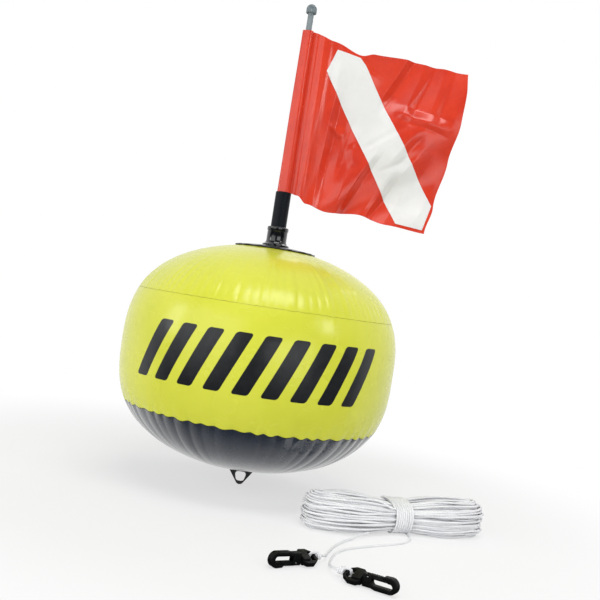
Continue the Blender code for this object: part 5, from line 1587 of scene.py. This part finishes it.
def make_tow_tab(finishes):
    """A tab with a hole, on a foot that follows the belly."""
    hole_foot = TAB_TIP_Z + TAB_HOLE_ABOVE_TIP
    foot_top = BELLY_Z + CUT_OVERRUN
    tip_centre = (0, TAB_TIP_Z + TAB_TIP_RADIUS)
    lean_deg = math.degrees(math.atan2(TAB_ROOT_WIDTH / 2 - TAB_TIP_RADIUS, BELLY_Z - tip_centre[1]))
    tip = arc(tip_centre, TAB_TIP_RADIUS, 180 + lean_deg, 360 - lean_deg, 20)
    outline = [(-TAB_ROOT_WIDTH / 2, foot_top), *tip, (TAB_ROOT_WIDTH / 2, foot_top)]
    upright = Matrix.Rotation(math.pi / 2, 4, "X")
    tab = extruded("tow_tab_welded", outline, -TAB_THICKNESS / 2, TAB_THICKNESS / 2, upright)
    narrow = 0.6
    hole_shape = rounded(
        [
            (-TAB_HOLE_WIDTH / 2 * narrow, hole_foot),
            (TAB_HOLE_WIDTH / 2 * narrow, hole_foot),
            (TAB_HOLE_WIDTH / 2, hole_foot + TAB_HOLE_HEIGHT),
            (-TAB_HOLE_WIDTH / 2, hole_foot + TAB_HOLE_HEIGHT),
        ],
        TAB_HOLE_ROUND,
    )
    joined(tab, "DIFFERENCE", extruded("tab_hole", hole_shape, -CUT_OVERRUN, CUT_OVERRUN, upright))
    eased(tab, TAB_EDGE, 2, 60)
    half_length, half_width = TAB_FOOT_LENGTH / 2, TAB_FOOT_WIDTH / 2
    foot_shape = rounded(rectangle(-half_length, half_length, -half_width, half_width), half_width)
    foot = extruded("tab_foot", foot_shape, BELLY_Z - CUT_OVERRUN, foot_top)
    seat_radii = [TAB_FOOT_LENGTH * step / 12 for step in range(13)]
    seat = [(radius, belly_height(radius) - TOUCH_GAP) for radius in seat_radii]
    under = [(radius, height - TAB_FOOT_FILM) for radius, height in reversed(seat)]
    joined(foot, "INTERSECT", turned("tab_dish", seat + under, 96))
    above = [*seat, (seat[-1][0], foot_top + CUT_OVERRUN), (0, foot_top + CUT_OVERRUN)]
    joined(tab, "UNION", foot)
    joined(tab, "DIFFERENCE", turned("tab_seat_cut", above, 96))
    dress(tab, finishes, "black_film", "root", "tow_tab")


def valve_matrix():
    """The valve's seat on the crown: square to the film, with its own Y running downhill."""
    height = crown_height(VALVE_OUT)
    outward, upward = shell_slope(np.array(VALVE_OUT), np.array(height))
    tilt = math.atan2(float(outward), float(upward))
    return Matrix.Translation((0, VALVE_OUT, height)) @ Matrix.Rotation(-tilt, 4, "X")


def make_valve_body(finishes):
    """The valve's flange on the crown, its stem and bore, and the lug that carries the cap."""
    seat = valve_matrix()
    rows = 10
    bed_radii = [mix(VALVE_STEM_RADIUS, VALVE_FLANGE_RADIUS, row / rows) for row in range(rows + 1)]
    bed = [(radius, VALVE_SEAT_GAP - radius**2 / (2 * VALVE_DISH_RADIUS)) for radius in bed_radii]
    over = [(radius, height + VALVE_FLANGE) for radius, height in reversed(bed)]
    rim_height = bed[-1][1] + VALVE_FLANGE / 2
    edge_z = VALVE_RISE - VALVE_EDGE
    outline = [
        (VALVE_BORE_RADIUS, -VALVE_DROP),
        (VALVE_STEM_RADIUS, -VALVE_DROP),
        *bed,
        (VALVE_FLANGE_RADIUS + VALVE_RIM_BOW, rim_height),
        *over,
        *arc((VALVE_STEM_RADIUS - VALVE_EDGE, edge_z), VALVE_EDGE, 0, 90, 4),
        *arc((VALVE_BORE_RADIUS + VALVE_EDGE, edge_z), VALVE_EDGE, 90, 180, 4),
    ]
    body = turned("valve_body_moulding", outline, 64, seat)
    half_strap = CAP_STRAP_WIDTH / 2
    lug_shape = rectangle(-half_strap, half_strap, VALVE_STEM_RADIUS - VALVE_WALL / 2, CAP_HINGE_Y)
    lug = extruded("valve_lug", lug_shape, VALVE_RISE - CAP_LUG_HEIGHT, VALVE_RISE - TOUCH_GAP, seat)
    joined(body, "UNION", lug)
    dress(body, finishes, "black_plastic", "root", "valve_body")


def make_valve_flap(finishes):
    """The one-way flap under the bore, with the ear that it hangs from."""
    top = -VALVE_DROP - TOUCH_GAP
    axis = valve_matrix() @ Matrix.Translation((0, FLAP_HINGE_OUT, top - FLAP_FILM / 2))
    ear = [(FLAP_EAR_WIDTH / 2, 0), (-FLAP_EAR_WIDTH / 2, 0)]
    outline = arc((0, -FLAP_HINGE_OUT), FLAP_RADIUS, 115, 425, 48) + ear
    flap = extruded("valve_flap_film", outline, -FLAP_FILM / 2, FLAP_FILM / 2, axis)
    dress(flap, finishes, "black_film", "valve_flap", "valve_flap")


def make_valve_cap(finishes):
    """The flip cap: its stopper, its rounded rim, and the strap that turns on the lug."""
    half_cap, half_strap = VALVE_CAP_THICKNESS / 2, CAP_STRAP_WIDTH / 2
    lift = VALVE_RISE + TOUCH_GAP + half_cap
    axis = valve_matrix() @ Matrix.Translation((0, CAP_HINGE_Y, lift))
    rim_round = half_cap / 2
    outline = [
        (0, -half_cap - STOPPER_LENGTH),
        (STOPPER_TIP_RADIUS, -half_cap - STOPPER_LENGTH),
        (STOPPER_RADIUS, -half_cap - STOPPER_LENGTH / 3),
        (STOPPER_RADIUS, -half_cap),
        *arc((VALVE_CAP_RADIUS - rim_round, -half_cap + rim_round), rim_round, -90, 0, 4),
        *arc((VALVE_CAP_RADIUS - rim_round, half_cap - rim_round), rim_round, 0, 90, 4),
        (0, half_cap),
    ]
    centre = axis @ Matrix.Translation((0, -CAP_HINGE_Y, 0))
    cap = turned("valve_cap_moulding", outline, 64, centre)
    strap_shape = rectangle(-half_strap, half_strap, -CAP_HINGE_Y + VALVE_CAP_RADIUS / 2, 0)
    half_strap_film = half_cap * STRAP_THIN_SHARE
    strap = extruded("cap_strap", strap_shape, -half_strap_film, half_strap_film, axis)
    barrel = rod_mesh("cap_barrel", half_cap, (-half_strap, 0, 0), (half_strap, 0, 0), SMALL_SIDES, axis)
    joined(strap, "UNION", barrel)
    joined(cap, "UNION", strap)
    dress(cap, finishes, "black_plastic", "valve_cap", "valve_cap")


def make_eye(prefix, hook, finishes):
    """The eye: a six-sided loop with a slot for the line, and the block that holds the swivel."""
    seat = eye_matrix(hook)
    loop = rounded(
        [
            (0, -EYE_BAR_WIDTH / 2),
            (EYE_WIDEST, -EYE_WIDTH / 2),
            (EYE_LENGTH - EYE_BAR, -EYE_WIDTH / 2),
            (EYE_LENGTH, -EYE_SHOULDER_WIDTH / 2),
            (EYE_LENGTH, EYE_SHOULDER_WIDTH / 2),
            (EYE_LENGTH - EYE_BAR, EYE_WIDTH / 2),
            (EYE_WIDEST, EYE_WIDTH / 2),
            (0, EYE_BAR_WIDTH / 2),
        ],
        EYE_ROUND,
    )
    eye = extruded(prefix + "_eye_moulding", loop, -EYE_THICKNESS / 2, EYE_THICKNESS / 2, seat)
    slot_end = EYE_BAR + SLOT_LENGTH
    half_slot = SLOT_WIDTH / 2
    slot_shape = rounded(rectangle(EYE_BAR, slot_end, -half_slot, half_slot), SLOT_ROUND)
    joined(eye, "DIFFERENCE", extruded(prefix + "_slot", slot_shape, -EYE_THICKNESS, EYE_THICKNESS, seat))
    eased(eye, MOULD_ROUND)
    half_block = BLOCK_WIDTH / 2
    block_foot = slot_end + TOUCH_GAP / 2
    block_shape = rounded(rectangle(block_foot, EYE_LENGTH, -half_block, half_block), BLOCK_ROUND)
    block = extruded(prefix + "_block", block_shape, -BLOCK_THICKNESS / 2, BLOCK_THICKNESS / 2, seat)
    eased(block, MOULD_ROUND)
    joined(eye, "UNION", block)
    bore_axis = seat @ Matrix.Rotation(math.pi / 2, 4, "Y")
    bore = turned(
        prefix + "_bore",
        [
            (0, slot_end - EYE_BAR / 2),
            (SHAFT_HEAD_RADIUS + TOUCH_GAP, slot_end - EYE_BAR / 2),
            (SHAFT_HEAD_RADIUS + TOUCH_GAP, slot_end + SHAFT_HEAD + 2 * TOUCH_GAP),
            (SHAFT_RADIUS + TOUCH_GAP, slot_end + SHAFT_HEAD + 2 * TOUCH_GAP),
            (SHAFT_RADIUS + TOUCH_GAP, EYE_LENGTH + CUT_OVERRUN),
            (0, EYE_LENGTH + CUT_OVERRUN),
        ],
        32,
        bore_axis,
    )
    joined(eye, "DIFFERENCE", bore)
    return dress(eye, finishes, "hook_nylon", "root", prefix + "_eye")


def hook_outline():
    """The hook's side view: knuckle, inner slot, gate seat, nose, round end and spine."""
    back = HOOK_START
    slot_top = SLOT_HEIGHT / 2 + TOUCH_GAP
    slot_foot = slot_top - SLOT_HEIGHT
    slot_radius = SLOT_HEIGHT / 2
    slot_middle = (slot_top + slot_foot) / 2
    slot_start = back + KNUCKLE_LENGTH + slot_radius
    end_x = HOOK_LENGTH - HOOK_END_RADIUS
    slot_end = HOOK_LENGTH - SPINE - slot_radius - 0.0007
    nose_inner = slot_foot - GATE_TIP - TOUCH_GAP
    nose_outer = nose_inner - NOSE
    spine_outer = slot_top + SPINE
    middle = (spine_outer + nose_outer) / 2
    end_radius = (spine_outer - nose_outer) / 2
    nose_tip = end_x - NOSE_LENGTH
    pocket = nose_tip + GATE_TIP_LENGTH + TOUCH_GAP
    half_knuckle = KNUCKLE_WIDTH / 2
    outline = [
        (back, -half_knuckle),
        (back + KNUCKLE_LENGTH, -half_knuckle),
        *arc((slot_start, slot_middle), slot_radius, 180, 90, HOOK_ARC_STEPS // 2),
        *arc((slot_end, slot_middle), slot_radius, 90, -90, HOOK_ARC_STEPS),
        (pocket, slot_foot),
        (pocket, nose_inner),
        (nose_tip, nose_inner),
        (nose_tip - NOSE / 4, nose_inner - NOSE / 2),
        (nose_tip + NOSE / 4, nose_outer + NOSE / 8),
        *arc((end_x, middle), end_radius, 270, 450, HOOK_ARC_STEPS + 4),
        (back + KNUCKLE_LENGTH + SPINE, spine_outer),
        (back + KNUCKLE_LENGTH, half_knuckle),
        (back, half_knuckle),
    ]
    return outline, nose_tip, nose_inner, slot_foot


def swivel_matrix(hook):
    return hook_matrix(hook) @ Matrix.Rotation(math.radians(hook["hook_roll"]), 4, "X")


def pivot_bar(name, hook, half_length, play=0.0, edge=0.0):
    """A round bar on the gate's axis."""
    ends = (*GATE_PIVOT, -half_length), (*GATE_PIVOT, half_length)
    return rod_mesh(name, GATE_PIN_RADIUS + play, *ends, SMALL_SIDES, swivel_matrix(hook), edge)


def make_hook_body(prefix, hook, finishes):
    """The hook, forked for its gate, with the headed shaft that turns in the eye's block."""
    swivel = swivel_matrix(hook)
    outline = hook_outline()[0]
    body = extruded(prefix + "_moulding", outline, -HOOK_THICKNESS / 2, HOOK_THICKNESS / 2, swivel)
    eased(body, MOULD_ROUND)
    half_fork = GATE_THICKNESS / 2 + TOUCH_GAP
    left, right = GATE_PIVOT[0] - FORK_BACK, GATE_PIVOT[0] + GATE_PIVOT_IN
    fork_shape = rectangle(left, right, -KNUCKLE_WIDTH, TOUCH_GAP)
    fork = extruded(prefix + "_fork", fork_shape, -half_fork, half_fork, swivel)
    pin_hole = pivot_bar(prefix + "_pin_hole", hook, PIN_HOLE_HALF_LENGTH, GATE_PIN_PLAY)
    joined(body, "DIFFERENCE", fork, pin_hole)

    head_start = EYE_BAR + SLOT_LENGTH + TOUCH_GAP
    shaft_ends = (EYE_BAR + SLOT_LENGTH + SHAFT_HEAD, 0, 0), (HOOK_START + SPINE / 4, 0, 0)
    shaft = rod_mesh(prefix + "_shaft", SHAFT_RADIUS, *shaft_ends, SMALL_SIDES, swivel)
    head_ends = (head_start, 0, 0), (head_start + SHAFT_HEAD, 0, 0)
    head = rod_mesh(prefix + "_head", SHAFT_HEAD_RADIUS, *head_ends, SMALL_SIDES, swivel)
    joined(shaft, "UNION", head)
    joined(body, "UNION", shaft)
    dress(body, finishes, "hook_nylon", prefix, prefix + "_body")


def make_gate(prefix, hook, finishes):
    """The gate: its root round the pin, a ridged lever for the thumb, and the tip behind the nose."""
    _, nose_tip, nose_inner, slot_foot = hook_outline()
    lever_foot = slot_foot - GATE_LEVER
    tip_x = nose_tip + GATE_TIP_LENGTH
    lever_start, lever_end = GATE_PIVOT[0] + GATE_ROOT_RADIUS, nose_tip - NOSE / 2
    notch = [(-RIDGE_HALF_WIDTH, 0), (0, RIDGE_DEPTH), (RIDGE_HALF_WIDTH, 0)]
    lever = []
    for ridge in range(LEVER_RIDGES):
        middle = mix(lever_start, lever_end, (ridge + 0.5) / LEVER_RIDGES)
        lever += [(middle + x, lever_foot + y) for x, y in notch]
    outline = [
        *arc(GATE_PIVOT, GATE_ROOT_RADIUS, 90, 255, 14),
        (lever_start, lever_foot),
        *lever,
        (lever_end, lever_foot),
        (lever_end, nose_inner + TOUCH_GAP),
        (tip_x, nose_inner + TOUCH_GAP),
        (tip_x, slot_foot),
        (lever_start, slot_foot),
    ]
    half_gate = GATE_THICKNESS / 2
    gate = extruded(prefix + "_gate_moulding", outline, -half_gate, half_gate, swivel_matrix(hook))
    eased(gate, GATE_ROUND, 2)
    pin_hole = pivot_bar(prefix + "_gate_hole", hook, PIN_HOLE_HALF_LENGTH, GATE_PIN_PLAY)
    joined(gate, "DIFFERENCE", pin_hole)
    dress(gate, finishes, "hook_nylon", prefix + "_gate", prefix + "_gate")


def make_gate_pin(prefix, hook, finishes):
    pin = pivot_bar(prefix + "_pin_turned", hook, HOOK_THICKNESS / 2, edge=GATE_PIN_EDGE)
    dress(pin, finishes, "hook_pin", prefix, prefix + "_pin")


def finish_springs(finishes):
    """The gate springs keep their own shape and get their steel."""
    for prefix in HOOKS:
        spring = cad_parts[prefix + "_spring"]
        spring.data.materials.clear()
        spring.data.materials.append(finishes["spring_steel"])


def make_stage():
    """A pale floor that keeps the shadow, and an even white beyond it."""
    bm = bmesh.new()
    bmesh.ops.create_grid(bm, x_segments=1, y_segments=1, size=FLOOR_SIZE / 2)
    floor = from_bmesh("floor", bm, Matrix.Translation((0, 0, SURFACE_Z - TOUCH_GAP)))
    paint = Finish("pale_floor", roughness=0.9, specular_ior_level=0.0)
    toward_room = (0 - paint.node("SeparateXYZ", sockets={0: paint.place()}, output="Y")).between(*ROOM_FLOOR)
    rays = paint.node("LightPath", output="Is Camera Ray")
    dark = toward_room * rays.output("Is Glossy Ray")
    paint.set(base_color=paint.mix(dark, FLOOR_COLOUR, ROOM_FLOOR_COLOUR))
    glow = paint.node("Emission", sockets={"Strength": 1.0})
    shaded = Value(paint, paint.surface, paint.surface.outputs[0])
    away = paint.node("VectorMath", {"operation": "LENGTH"}, {0: paint.place()}, output="Value")
    seen = rays + rays.output("Is Glossy Ray") + rays.output("Is Transmission Ray")
    help_share = FLOOR_HELP_SHARE + (1 - FLOOR_HELP_SHARE) * away.between(*FLOOR_FADE)
    lit = paint.node("MixShader", sockets={0: seen.at_most(1) * help_share * (1 - dark), 1: shaded, 2: glow})
    paint.tree.links.new(lit.socket, paint.tree.nodes["Material Output"].inputs["Surface"])
    floor.data.materials.append(paint.material)

    world = bpy.data.worlds.new("studio")
    bpy.context.scene.world = world
    sky = Nodes(world)
    rays = sky.node("LightPath", output="Is Camera Ray")
    seen = rays + rays.output("Is Transmission Ray")
    glossy = rays.output("Is Glossy Ray")
    toward_backdrop = sky.node("SeparateXYZ", sockets={0: sky.place()}, output="Y")
    mirrored = ROOM_LEVEL + (1 - ROOM_LEVEL) * toward_backdrop.between(*BACKDROP_EDGE)
    level = seen + glossy * mirrored + (1 - seen - glossy).at_least(0) * SKY_LEVEL
    sky.feed(world.node_tree.nodes["Background"].inputs["Color"], (1, 1, 1))
    sky.feed(world.node_tree.nodes["Background"].inputs["Strength"], level)


def make_lamps():
    """Soft boxes round the object, each aimed at the float's middle."""
    for name, azimuth_deg, elevation_deg, distance, size, power in LAMPS:
        azimuth, elevation = math.radians(azimuth_deg), math.radians(elevation_deg)
        away = Vector((
            math.sin(azimuth) * math.cos(elevation),
            -math.cos(azimuth) * math.cos(elevation),
            math.sin(elevation),
        ))
        data = bpy.data.lights.new(name, "AREA")
        data.shape = "RECTANGLE"
        data.size, data.size_y = size
        data.energy = power
        lamp = linked(name, data)
        lamp.location = Vector(LAMP_AIM) + away * distance
        lamp.rotation_euler = away.to_track_quat("Z", "Y").to_euler()


PIECE_MAKERS = [
    make_top_panel,
    make_side_band,
    make_bottom_panel,
    make_top_disc,
    make_socket,
    make_tube,
    make_rod,
    make_cap,
    make_cap_pin,
    make_flag,
    make_tow_tab,
    make_valve_body,
    make_valve_flap,
    make_valve_cap,
]


def main():
    """Camera and line first, then each piece in turn, then the stage and its lamps."""
    make_camera()
    finishes = make_finishes()
    line, route = make_line(finishes)
    for make_piece in PIECE_MAKERS:
        make_piece(finishes)
    for prefix, hook in HOOKS.items():
        make_knot(prefix, hook, finishes)
        make_eye(prefix, hook, finishes)
        make_hook_body(prefix, hook, finishes)
        make_gate(prefix, hook, finishes)
        make_gate_pin(prefix, hook, finishes)
    finish_springs(finishes)
    make_stage()
    make_lamps()
    bpy.context.scene.view_settings.view_transform = "Standard"


main()
